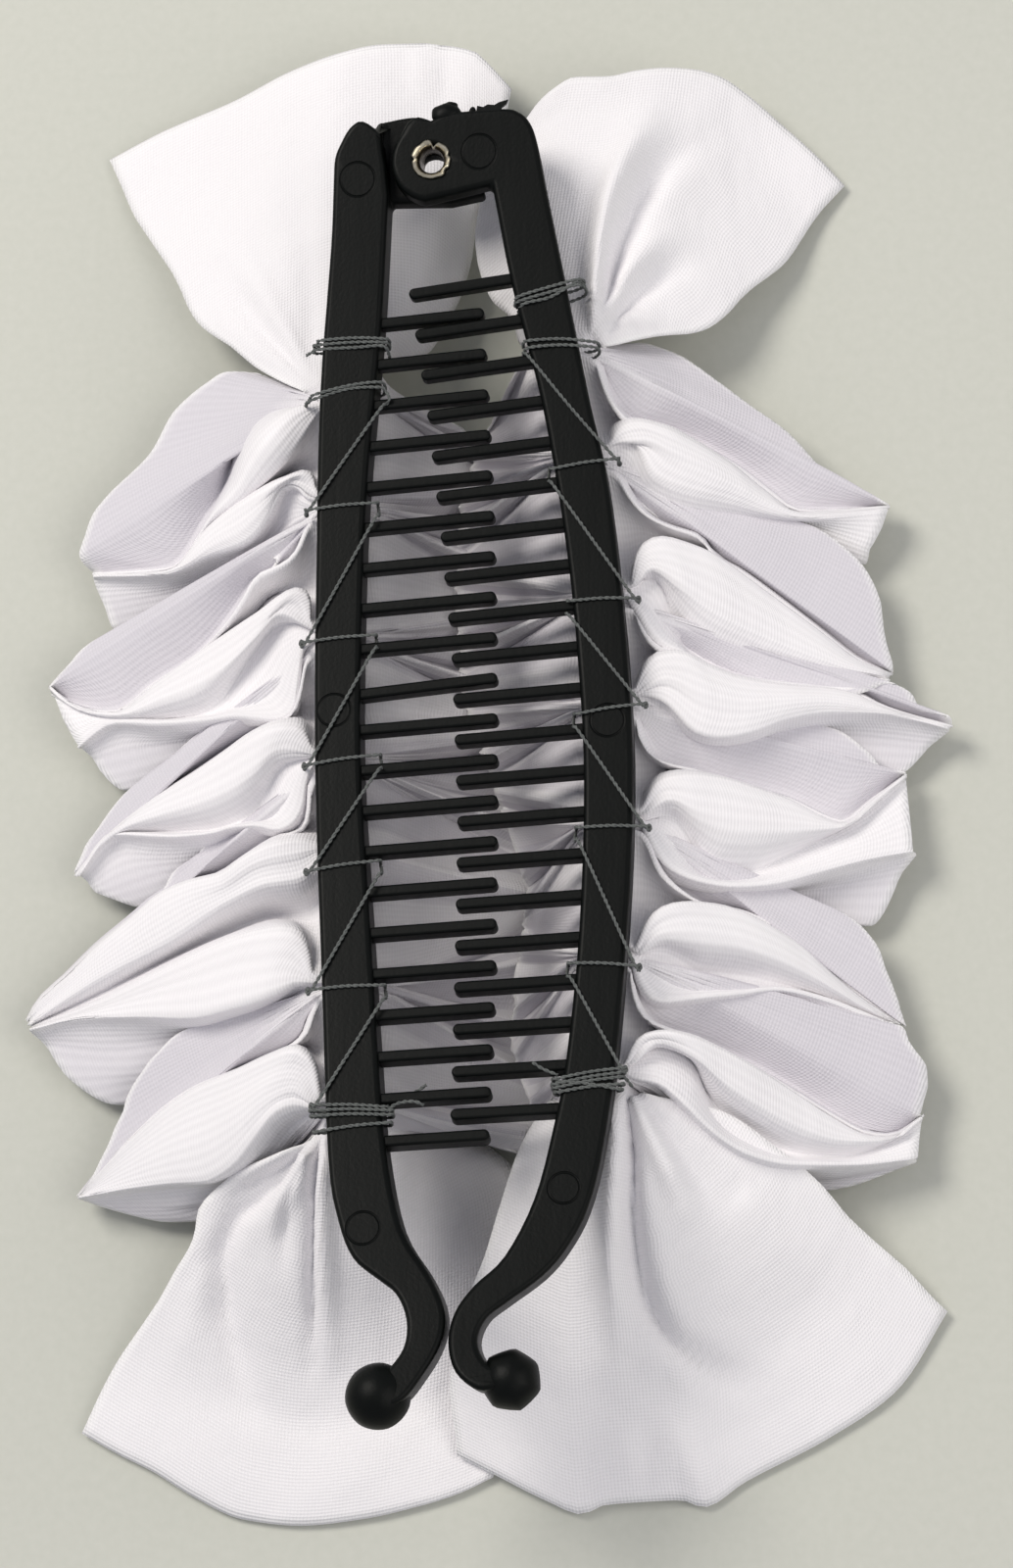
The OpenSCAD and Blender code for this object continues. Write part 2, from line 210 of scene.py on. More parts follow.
def arc(centre, radius, start, end, steps=20):
    """Points round a centre, from one angle to another, in degrees."""
    angles = np.radians(np.linspace(start, end, steps))
    return [(centre[0] + radius * math.cos(a), centre[1] + radius * math.sin(a)) for a in angles]


def ramp(value, start, width):
    """0 up to a start, and then up to 1 over a width."""
    return min(max((value - start) / width, 0), 1)


def only(piece):
    """Selects one piece and nothing else."""
    bpy.ops.object.select_all(action="DESELECT")
    piece.select_set(True)
    bpy.context.view_layer.objects.active = piece


def apply_modifier(piece, kind, **settings):
    """Adds a modifier and applies it."""
    only(piece)
    modifier = piece.modifiers.new("work", kind)
    for name, value in settings.items():
        setattr(modifier, name, value)
    bpy.ops.object.modifier_apply(modifier=modifier.name)


def cut_away(piece, cutter):
    """Cuts a shape out of a piece."""
    apply_modifier(piece, "BOOLEAN", object=cutter, operation="DIFFERENCE", solver="EXACT")
    bpy.data.objects.remove(cutter)


def settle(piece):
    """Puts a piece's place in its mesh."""
    only(piece)
    bpy.ops.object.transform_apply(location=True, rotation=True, scale=True)


def open_mesh(piece):
    """Opens a piece in edit mode, with all of it selected."""
    only(piece)
    bpy.ops.object.mode_set(mode="EDIT")
    bpy.ops.mesh.select_all(action="SELECT")


def close_mesh():
    """Turns all faces of the open piece outwards and leaves edit mode."""
    bpy.ops.mesh.select_all(action="SELECT")
    bpy.ops.mesh.normals_make_consistent(inside=False)
    bpy.ops.object.mode_set(mode="OBJECT")


def flat_blank(name, outline, depth):
    """A flat plate of an outline, from z = 0 down to its depth."""
    line = bpy.data.curves.new(name, "CURVE")
    line.dimensions = "2D"
    line.fill_mode = "BOTH"
    spline = line.splines.new("POLY")
    spline.points.add(len(outline) - 1)
    for point, (x, y) in zip(spline.points, outline):
        point.co = (x * MM, y * MM, 0, 1)
    spline.use_cyclic_u = True
    plate = bpy.data.objects.new(name, line)
    scene.collection.objects.link(plate)
    only(plate)
    bpy.ops.object.convert(target="MESH")
    plate = bpy.context.object
    open_mesh(plate)
    bpy.ops.mesh.remove_doubles(threshold=SAME_PLACE)
    bpy.ops.mesh.dissolve_limited(angle_limit=math.radians(0.5))
    bpy.ops.mesh.extrude_region_move(TRANSFORM_OT_translate={"value": (0, 0, -depth * MM)})
    close_mesh()
    return plate


def mould_arm(name, outline, cutter, marks):
    """An arm from its flat blank: the hinge cut, round edges, ejector marks, then the bow."""
    arm = flat_blank(name, outline, ARM_DEPTH)
    cut_away(arm, cutter)
    cut_away(arm, start_shape(
        bpy.ops.mesh.primitive_cylinder_add, vertices=64, radius=EYELET_HOLE_R * MM,
        depth=HOLE_CUT * MM, location=(HINGE[0] * MM, HINGE[1] * MM, 0)))
    apply_modifier(arm, "BEVEL", width=ARM_ROUND * MM, segments=4, limit_method="ANGLE",
                   angle_limit=math.radians(50), use_clamp_overlap=False)
    for x, y, radius in marks:
        cut_away(arm, start_shape(
            bpy.ops.mesh.primitive_torus_add, location=(x * MM, y * MM, 0.02 * MM),
            major_radius=radius * MM, minor_radius=MARK_LINE_R * MM, major_segments=48,
            minor_segments=8))
    open_mesh(arm)
    for y in np.arange(-74, 76, BOW_STEP):
        bpy.ops.mesh.select_all(action="SELECT")
        bpy.ops.mesh.bisect(plane_co=(0, y * MM, 0), plane_no=(0, 1, 0), threshold=SAME_PLACE)
    bpy.ops.object.mode_set(mode="OBJECT")
    # The hinge end gets its round shape after the cuts: its upper half slopes down towards the lug,
    # and what is left below the cut stands out a little beyond it. Then the arm is bowed.
    for vertex in arm.data.vertices:
        x, y, z = vertex.co / MM
        rise = ramp(x, -15.5, 2.5) * ramp(y, 69.3, 1)
        if x < HINGE[0] - 5 and z > 0.1 - TONGUE_CUT:
            y += CAP_RISE * rise - CAP_SLOPE * ramp(x, -13, 2.9) ** 1.6 * ramp(y, 66, 4.5)
        elif x < HINGE[0]:
            y += TONGUE_RISE * rise * ramp(HINGE[0] - x, 0, 1.8)
        vertex.co.y = y * MM
        vertex.co.z = bow(y, -z) * MM
    return arm


def closed_outline(hinge_end, outer, inner):
    """The closed outline of an arm: its hinge end, its outer edge and its inner edge back."""
    return hinge_end + [tuple(p) for p in [*smooth_line(outer, 4), *smooth_line(inner, 4)[::-1]]]


# The marks of the mould's ejector pins: places and radii.
left_marks = [(-13.15, 64.5, 2), (-15.85, 2, 1.9), (-10.85, -57.5, 1.8)]
right_marks = [(1.05, 67.1, 2), (15.05, -0.1, 1.9), (10.55, -53.4, 1.7)]
tongue = [(-2.6, 62.5), (1.5, 63.2)] + arc(HINGE, TONGUE_R, -15, 90)
lug = arc(HINGE, LUG_R, 260, 90)
OVER = 1
over_tongue = flat_blank("over_tongue", [(8, 57.4), (-9.2, 57.4), (-10.2, 69), (-10.8, 75),
                                         (8, 75)], TONGUE_CUT + OVER)
over_tongue.location.z = OVER * MM
arm_left = mould_arm("arm_left_moulded", closed_outline(tongue, left_outer, left_inner),
                     over_tongue, left_marks)
under_lug = flat_blank("under_lug", arc(HINGE, HOLLOW_R, -30, 130)
                       + [(-12, 76), (-12, 58), (3.2, 58)], ARM_DEPTH + OVER)
under_lug.location.z = -LUG_CUT * MM
arm_right = mould_arm("arm_right_moulded", closed_outline(lug, right_outer, right_inner),
                      under_lug, right_marks)

# Teeth: a comb of 21 round-ended blades on each arm, one moulding with it. One is modelled and
# copied. Their ends along X and their slopes in degrees are given against the number of the tooth
# from the hinge.
TOOTH_W = 1.3
TOOTH_DEPTH = 2.4
TOOTH_DROP = 0.6
BLANK_LENGTH = 4
TEETH = 21
BENT_TOOTH = 9
EXTRA_SLOPE = 2
left_comb = {"tip": ([0, 5, 10, 16, 20], [0.1, 1.1, 1.5, 1.6, 1.2]),
             "slope": ([0, 10, 20], [4, 3.6, 3]),
             "root": ([0, 6, 11, 20], [-13.4, -15.4, -15.4, -12.6]),
             "first_y": 48.65, "pitch": 4.79}
right_comb = {"tip": ([0, 3, 6, 9, 13, 20], [-8.6, -6.6, -5.1, -3.8, -3, -3.1]),
              "slope": ([0, 10, 20], [6.6, 3.8, 2.6]),
              "root": ([0, 3, 6, 10, 13, 17, 20], [5.2, 8.6, 11, 12.6, 12.8, 11.8, 10]),
              "first_y": 51.1, "pitch": 4.8}


def edges_where(piece, test):
    """Selects the edges whose two ends pass a test, in edit mode's edge mode."""
    bpy.context.tool_settings.mesh_select_mode = (False, True, False)
    open_mesh(piece)
    bpy.ops.mesh.select_all(action="DESELECT")
    bpy.ops.object.mode_set(mode="OBJECT")
    spots = [vertex.co / MM for vertex in piece.data.vertices]
    for edge in piece.data.edges:
        edge.select = test(*[spots[i] for i in edge.vertices])
    bpy.ops.object.mode_set(mode="EDIT")


blade = start_shape(bpy.ops.mesh.primitive_cube_add, size=1,
                    location=(-BLANK_LENGTH / 2 * MM, 0, -TOOTH_DEPTH / 2 * MM))
blade.scale = (BLANK_LENGTH * MM, TOOTH_W * MM, TOOTH_DEPTH * MM)
settle(blade)
# The blade's end, its upper edges and its lower edges: which edges, the radius and its segments.
for test, radius, segments in (
        (lambda a, b: min(a.x, b.x) > -0.1 and abs(a.z - b.z) > 1, TOOTH_W * 0.49, 8),
        (lambda a, b: min(a.z, b.z) > -0.1 and max(a.x, b.x) > 0.1 - BLANK_LENGTH, 0.33, 4),
        (lambda a, b: max(a.z, b.z) < 0.1 - TOOTH_DEPTH and max(a.x, b.x) > 0.1 - BLANK_LENGTH,
         0.5, 3)):
    edges_where(blade, test)
    bpy.ops.mesh.bevel(offset=radius * MM, segments=segments)
    bpy.ops.object.mode_set(mode="OBJECT")


def join_to(arm, pieces):
    """Makes pieces part of an arm."""
    only(arm)
    for piece in pieces:
        piece.select_set(True)
    bpy.ops.object.join()


def comb(arm, table, side):
    """Copies of the blade along an arm, joined to it. side is +1 if the teeth point to +X."""
    copies = []
    for k in range(TEETH):
        tip = np.interp(k, *table["tip"]) + SHIFT[0]
        root = np.interp(k, *table["root"]) + SHIFT[0]
        slope = np.interp(k, *table["slope"])
        if k == BENT_TOOTH and side > 0:
            slope += EXTRA_SLOPE
        tip_y = table["first_y"] - k * table["pitch"]
        root_y = tip_y + (root - tip) * math.tan(math.radians(slope))
        reach = abs(tip - root) / math.cos(math.radians(slope))
        tilt = -math.asin((LOW_Y - tip_y) / BOW_R)
        place = (Matrix.Translation(Vector((root, root_y, bow(root_y) - TOOTH_DROP)) * MM)
                 @ Matrix.Rotation(tilt, 4, "X")
                 @ Matrix.Rotation(math.radians(slope if side > 0 else slope + 180), 4, "Z"))
        tooth = bpy.data.objects.new("tooth", blade.data.copy())
        scene.collection.objects.link(tooth)
        for vertex in tooth.data.vertices:
            at_tip = vertex.co.x > -BLANK_LENGTH / 2 * MM
            vertex.co.x = vertex.co.x + reach * MM if at_tip else 0
            vertex.co = place @ vertex.co
        copies.append(tooth)
    join_to(arm, copies)


comb(arm_left, left_comb, 1)
comb(arm_right, right_comb, -1)
bpy.data.objects.remove(blade)

# Hook balls, the stub of the mould's gate and the torn flash on the lug. They are one moulding with
# the arms. The balls are a little uneven, with the mould's parting line round them.
PARTING_RIDGE, PARTING_W = 0.02, 0.14
FACETS, FACET_TURN = 7, 0.35
BALL_SQUASH = 0.97


def ball(arm, place, diameter, flat):
    """A slightly flattened ball on the end of a hook, joined to its arm."""
    height = (bow(place[1]) + bow(place[1], ARM_DEPTH)) / 2
    piece = start_shape(bpy.ops.mesh.primitive_uv_sphere_add, segments=40, ring_count=24,
                        radius=diameter / 2 * MM)
    for vertex in piece.data.vertices:
        across = math.hypot(vertex.co.x, vertex.co.y)
        ridge = PARTING_RIDGE * math.exp(-(vertex.co.z / (PARTING_W * MM)) ** 2)
        turn = math.atan2(vertex.co.y, vertex.co.x) + FACET_TURN
        facet = 0.9 / math.cos(turn % (math.tau / FACETS) - math.pi / FACETS)
        uneven = 1 + flat * (facet - 1) * across / (diameter / 2 * MM)
        vertex.co.x *= uneven * (1 + ridge)
        vertex.co.y *= uneven * (1 + ridge)
        vertex.co.z *= BALL_SQUASH
        vertex.co += Vector((place[0], place[1], height)) * MM
    join_to(arm, [piece])


ball(arm_left, (-8.75, -75.4), 6.9, 0.12)
ball(arm_right, (5.15, -73.8), 6.5, 0.7)


LUMP_WAVE = 0.06


def lump(arm, place, size, turn):
    """A small rounded lump of plastic, half sunk in its arm."""
    piece = start_shape(bpy.ops.mesh.primitive_ico_sphere_add, subdivisions=3, radius=MM / 2)
    piece.scale = size
    piece.rotation_euler = (0, 0, math.radians(turn))
    piece.location = Vector(place) * MM
    settle(piece)
    for vertex in piece.data.vertices:
        spot = vertex.co / MM
        vertex.co += Vector((math.sin(5 * spot.y), math.sin(4 * spot.x), 0)) * LUMP_WAVE * MM
    join_to(arm, [piece])


lump(arm_right, (-2.8, 72, 22.6), (3.5, 2.5, 2.1), 4)
lump(arm_right, (-2.4, 72.7, 22.5), (2, 1.5, 1.5), 30)
lump(arm_right, (0.2, 71.9, 22.9), (1.4, 0.8, 0.9), 60)
FLASH_T, FLASH_TOP = 0.3, 23.4
flash = flat_blank("flash", [(0.7, 71.2), (0.9, 72.5), (1.6, 72.3), (2.1, 72.6), (2.9, 72.5),
                             (3.4, 72.8), (4.5, 73.1), (4.3, 72.6), (3.7, 72.1), (3.3, 71.2)],
                   FLASH_T)
flash.location.z = FLASH_TOP * MM
settle(flash)
join_to(arm_right, [flash])

moulded_black, tree, surface = new_material("satin_moulded_black_plastic")
# Satin moulded polystyrene: near black, with a fine mould texture and faint flow streaks.
where = add_node(tree, "ShaderNodeTexCoord").outputs["Object"]
mould_grain = add_node(tree, "ShaderNodeTexNoise", {"Vector": where, "Scale": 2600, "Detail": 2})
drawn = add_node(tree, "ShaderNodeMapping", {"Vector": where, "Scale": (900, 60, 400)})
flow = add_node(tree, "ShaderNodeTexNoise", {"Vector": drawn.outputs["Vector"], "Scale": 1,
                                             "Detail": 4})
tint = add_node(tree, "ShaderNodeMix", {"Factor": flow.outputs["Fac"], "A": shade("#040605"),
                                        "B": shade("#090c0b")}, data_type="RGBA")
gloss = add_node(tree, "ShaderNodeMapRange", {"Value": flow.outputs["Fac"], "To Min": 0.36,
                                              "To Max": 0.54})
mixed = add_node(tree, "ShaderNodeMath", {0: mould_grain.outputs["Fac"], 1: flow.outputs["Fac"]},
                 operation="ADD")
relief = add_node(tree, "ShaderNodeBump", {"Height": mixed.outputs["Value"], "Strength": 0.35,
                                           "Distance": 0.06 * MM})
feed(tree, surface, {"Base Color": tint.outputs["Result"], "Roughness": gloss.outputs["Result"],
                     "Normal": relief.outputs["Normal"], "IOR": 1.5, "Specular IOR Level": 0.12})
for arm, body, node in ((arm_left, "left", "arm_left"), (arm_right, "right", "arm_right")):
    arm.data.materials.clear()
    arm.data.materials.append(moulded_black)
    only(arm)
    bpy.ops.object.shade_smooth_by_angle(angle=math.radians(35))
    arm.modifiers.new("even", "WEIGHTED_NORMAL").keep_sharp = True
    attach(arm, body)
    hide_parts(node)

# The eyelet, the pin of the hinge: a thin tube of plated brass, set from below and rolled over on
# the lug in uneven petals, with a split at the top and small ones at the sides.
BORE_R = 1.4
TUBE_WALL = 0.3
RIM_R = 2.32
eyelet_tilt = math.asin((HINGE[1] - LOW_Y) / BOW_R)
# Radii and heights round the wall: up the bore, over the rim, down outside and round the foot.
rim_profile = [(BORE_R + 0.12, -5.45), (BORE_R, -5.3), (BORE_R, -0.9), (BORE_R + 0.08, -0.35),
               (BORE_R + 0.3, 0.08), (BORE_R + 0.52, 0.34), (BORE_R + 0.7, 0.42),
               (RIM_R - 0.08, 0.34), (RIM_R, 0.14), (RIM_R - 0.06, 0), (RIM_R - 0.3, 0.02),
               (BORE_R + TUBE_WALL, -0.1), (BORE_R + TUBE_WALL, -5.0), (RIM_R, -5.1),
               (RIM_R, -5.35), (BORE_R + 0.5, -5.5)]
# Each split of the rim: its angle, its width in degrees and how far it goes in.
splits = [(78, 9, 0.75), (176, 6, 0.3), (12, 7, 0.28), (322, 7, 0.22), (238, 6, 0.12)]


def mesh_piece(name, corners, edges, faces):
    """A smooth-shaded piece from corners in millimetres."""
    mesh = bpy.data.meshes.new(name)
    mesh.from_pydata((np.array(corners) * MM).tolist(), edges, faces)
    for polygon in mesh.polygons:
        polygon.use_smooth = True
    piece = bpy.data.objects.new(name, mesh)
    scene.collection.objects.link(piece)
    return piece


last = len(rim_profile) - 1
eyelet = mesh_piece("eyelet_rolled", [(radius, 0, height) for radius, height in rim_profile],
                    [(i, i + 1) for i in range(last)] + [(last, 0)], [])
open_mesh(eyelet)
bpy.ops.mesh.spin(steps=120, angle=math.tau, center=(0, 0, 0), axis=(0, 0, 1))
bpy.ops.mesh.select_all(action="SELECT")
bpy.ops.mesh.remove_doubles(threshold=SAME_PLACE)
close_mesh()
eyelet_place = (Matrix.Translation(Vector((HINGE[0], HINGE[1], bow(HINGE[1]))) * MM)
                @ Matrix.Rotation(eyelet_tilt, 4, "X"))
bore_painted_shade = eyelet.data.attributes.new("bore_painted_shade", "FLOAT", "POINT")
# The rim splits and waves, most at its edge, and the bore is painted dark brown as painted shade.
for vertex in eyelet.data.vertices:
    radius, height = math.hypot(vertex.co.x, vertex.co.y) / MM, vertex.co.z / MM
    angle = math.degrees(math.atan2(vertex.co.y, vertex.co.x)) % 360
    share = ramp(radius, BORE_R + 0.05, 0.5) if height > -0.15 else 0
    bite = sum(deep * math.exp(-((angle - at) / wide) ** 2) for at, wide, deep in splits)
    wave = 0.05 * math.sin(math.radians(5 * angle)) + 0.03 * math.sin(math.radians(11 * angle))
    scale = 1 + share * (wave - bite) / radius
    vertex.co.x *= scale
    vertex.co.y *= scale
    vertex.co.z += share * (wave * 0.6 - bite * 0.3) * MM
    bore_painted_shade.data[vertex.index].value = 1 - ramp(radius, BORE_R + 0.05, 0.25)
    vertex.co = eyelet_place @ vertex.co
plated_brass, tree, surface = new_material("plated_brass_rolled")
# Thin brass sheet under a pale nickel plate, drawn and rolled: soft scratches round the rim.
where = add_node(tree, "ShaderNodeTexCoord").outputs["Object"]
scratch = add_node(tree, "ShaderNodeTexNoise", {"Vector": where, "Scale": 1800, "Detail": 4})
tint = add_node(tree, "ShaderNodeMix", {"Factor": scratch.outputs["Fac"], "A": shade("#a89d82"),
                                        "B": shade("#eee7d2")}, data_type="RGBA")
# Inside the bore the metal is painted dark brown: painted shade.
inside = add_node(tree, "ShaderNodeAttribute", attribute_name="bore_painted_shade").outputs["Fac"]
bore_shade_tint = add_node(tree, "ShaderNodeMix", {"Factor": inside, "A": tint.outputs["Result"],
                                         "B": shade("#54483a")}, data_type="RGBA")
relief = add_node(tree, "ShaderNodeBump", {"Height": scratch.outputs["Fac"], "Strength": 0.5,
                                           "Distance": 0.08 * MM})
feed(tree, surface, {"Base Color": bore_shade_tint.outputs["Result"], "Normal": relief.outputs["Normal"],
                     "Metallic": 1, "Roughness": 0.3})
eyelet.data.materials.append(plated_brass)
only(eyelet)
bpy.ops.object.shade_smooth_by_angle(angle=math.radians(50))
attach(eyelet, "left")
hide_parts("eyelet")

# The ruffles. Each is one strip of thin white cotton, 50 mm wide, laid under its arm and whipped to
# it. Between two stitches its length is bunched into one petal: a thin back layer, a strip that
# rolls down beside the arm, the leaf that arches over it, and the layer under the leaf. The ends of
# the strip open out as the ears and the flaps. All places across and up are in millimetres from the
# aim, as the camera sees them.
CLOTH_T = 0.26
FLOOR_GAP = 0.35
GATHER_DEPTH = 0.14
UNEVENNESS = 0.022
EDGE_WAVER = 0.16
# Width of the painted highlight along the cut edges.
EDGE_HIGHLIGHT_W = 0.9
UV_MARGIN = 30
# Points of a row inside the arm, steps of it outside and the most steps from one row to the next.
IN, OUT = 14, 32
MOST_STEPS = 8
# The stitches, along Y, and the raw edge inside each arm, across against up.
left_pinch = [40.6, 27.2, 11.3, -3.3, -14.6, -29.3, -43.4]
right_pinch = [45.7, 32, 15.4, 2.8, -10.8, -26.5, -40.4]
FREE_EDGE = {-1: ([-44, -38, -28, -14, 0, 36, 41, 45, 49, 54],
                  [3.6, 5.6, 5, 5.8, 4.6, 2, -4, -10.2, -8.7, -5.2]),
             1: ([-40, -30, -20, -12, 0, 10, 20, 32, 38, 44, 50, 54],
                 [6, 2.4, 3.2, 4.3, 0.4, -3.2, -3.8, -3.4, -1.5, 2.1, 3.6, 2.1])}


def edge_x(edge, y):
    """Where the outline of an arm's edge is, at a place along Y."""
    return float(np.interp(-y, [-p[1] for p in edge], [p[0] for p in edge]))


def shown(point):
    """Where a point shows, across and up from the aim."""
    ray = point - eye
    depth = -ray.dot(lean)
    return ray.dot(view_right) * VIEW_DISTANCE / depth, ray.dot(view_up) * VIEW_DISTANCE / depth


def mix(a, b, t):
    """The point that lies a part of the way from one to another."""
    return [p + (q - p) * t for p, q in zip(a, b)]


def running(values):
    """Running totals, from 0."""
    return np.concatenate([[0], np.cumsum(values)])


def unit(ways, least=1e-9):
    """Directions with the length 1."""
    return ways / np.maximum(np.linalg.norm(ways, axis=-1, keepdims=True), least)


def even_slopes(s, v):
    """Slopes at each value that let a curve through them bend without overshooting."""
    step = np.diff(s)[:, None]
    rise = np.diff(v, axis=0) / step
    slope = np.zeros_like(v)
    slope[0], slope[-1] = rise[0], rise[-1]
    w1 = 2 * step[1:] + step[:-1]
    w2 = step[1:] + 2 * step[:-1]
    same = rise[1:] * rise[:-1] > 0
    safe_a = np.where(same, rise[:-1], 1)
    safe_b = np.where(same, rise[1:], 1)
    slope[1:-1] = np.where(same, (w1 + w2) / (w1 / safe_a + w2 / safe_b), 0)
    return slope


def curve_through(s, v, at):
    """Values at given places of a curve through v at s, without overshooting."""
    slope = even_slopes(s, v)
    k = np.clip(np.searchsorted(s, at, side="right") - 1, 0, len(s) - 2)
    step = (s[k + 1] - s[k])[:, None]
    t = ((at - s[k]) / (s[k + 1] - s[k]))[:, None]
    return ((2 * t ** 3 - 3 * t ** 2 + 1) * v[k] + (t ** 3 - 2 * t ** 2 + t) * step * slope[k]
            + (3 * t ** 2 - 2 * t ** 3) * v[k + 1] + (t ** 3 - t ** 2) * step * slope[k + 1])


def along(points):
    """The distance along a line at each of its points."""
    return running(np.maximum(np.linalg.norm(np.diff(points, axis=0), axis=1), 1e-4))


def part_along(points):
    """The same as parts of the whole line."""
    s = along(points)
    return s / s[-1]


def points_at(line, distances):
    """The points of a line at distances along it."""
    s = along(line)
    return np.stack([np.interp(distances, s, values) for values in line.T], axis=1)


def halfway(a, b):
    """A path between two others."""
    return sum(curve_through(part_along(p), p, np.linspace(0, 1, 9))
               for p in (np.array(a), np.array(b))) / 2


def slide(path, distance, side):
    """A path beside another one, towards the thin layer, that meets it at its ends."""
    p = np.array(path, float)
    way = np.gradient(p, axis=0)
    normal = unit(np.stack([-way[:, 1], way[:, 0]], axis=1) * side, 1e-6)
    share = np.linspace(0, 1, len(p))
    weight = np.minimum(1, 0.45 + share * 2) * np.where(share > 0.8, 1 - (share - 0.8) * 4, 1)
    return [tuple(q) for q in p + normal * distance * weight[:, None]]


# How a row of cloth falls from the arm to its far end, at fifths of its way, the height of that end
# above the floor and how much it stands up at the arm.
FALL = {
    "turn": ((1, 0.9, 0.76, 0.6, 0.5, 0.42), 4, 0),
    "thin": ((1, 0.78, 0.54, 0.32, 0.14, 0), 4.3, -0.3),
    "crevice": ((1, 0.56, 0.3, 0.14, 0.04, 0), 2.6, -0.6),
    "lobe": ((1, 1.05, 0.72, 0.38, 0.15, 0), 4.6, 0.6),
    "strip": ((1, 0.9, 0.6, 0.3, 0.12, 0), 4, 0.5),
    "pocket": ((1, 0.42, 0.36, 0.24, 0.11, 0), 4.2, -4),
    "arch": ((1, 1.02, 0.72, 0.4, 0.18, 0), 5, 0.9),
    "leaf": ((1, 0.96, 0.74, 0.46, 0.2, 0), 4.9, 0.7),
    "crease": ((1, 0.66, 0.42, 0.24, 0.11, 0), 4.2, -0.2),
    "crest": ((1, 0.92, 0.7, 0.42, 0.2, 0), 5.2, 0.5),
    "tuck": ((1, 0.68, 0.5, 0.3, 0.14, 0), 4.2, 0.1),
    "under": ((1, 0.56, 0.34, 0.18, 0.08, 0), 2.6, 0),
    "back": ((1, 0.66, 0.42, 0.24, 0.1, 0), 2.4, 0)}
# How much darker each kind of row is painted where it is one layer: partly the grey below showing
# through, partly painted shade for rows that lie in hollows or under the leaf.
SEE_THROUGH_AND_SHADE = {"thin": 1, "crevice": 0.8, "under": 0.7, "back": 1, "turn": 1}
# The end of a thin row: its height near the stitch, as a part of the arm's, and its height far out.
STITCH_HEIGHT, EDGE_HEIGHT = 0.62, 4.4

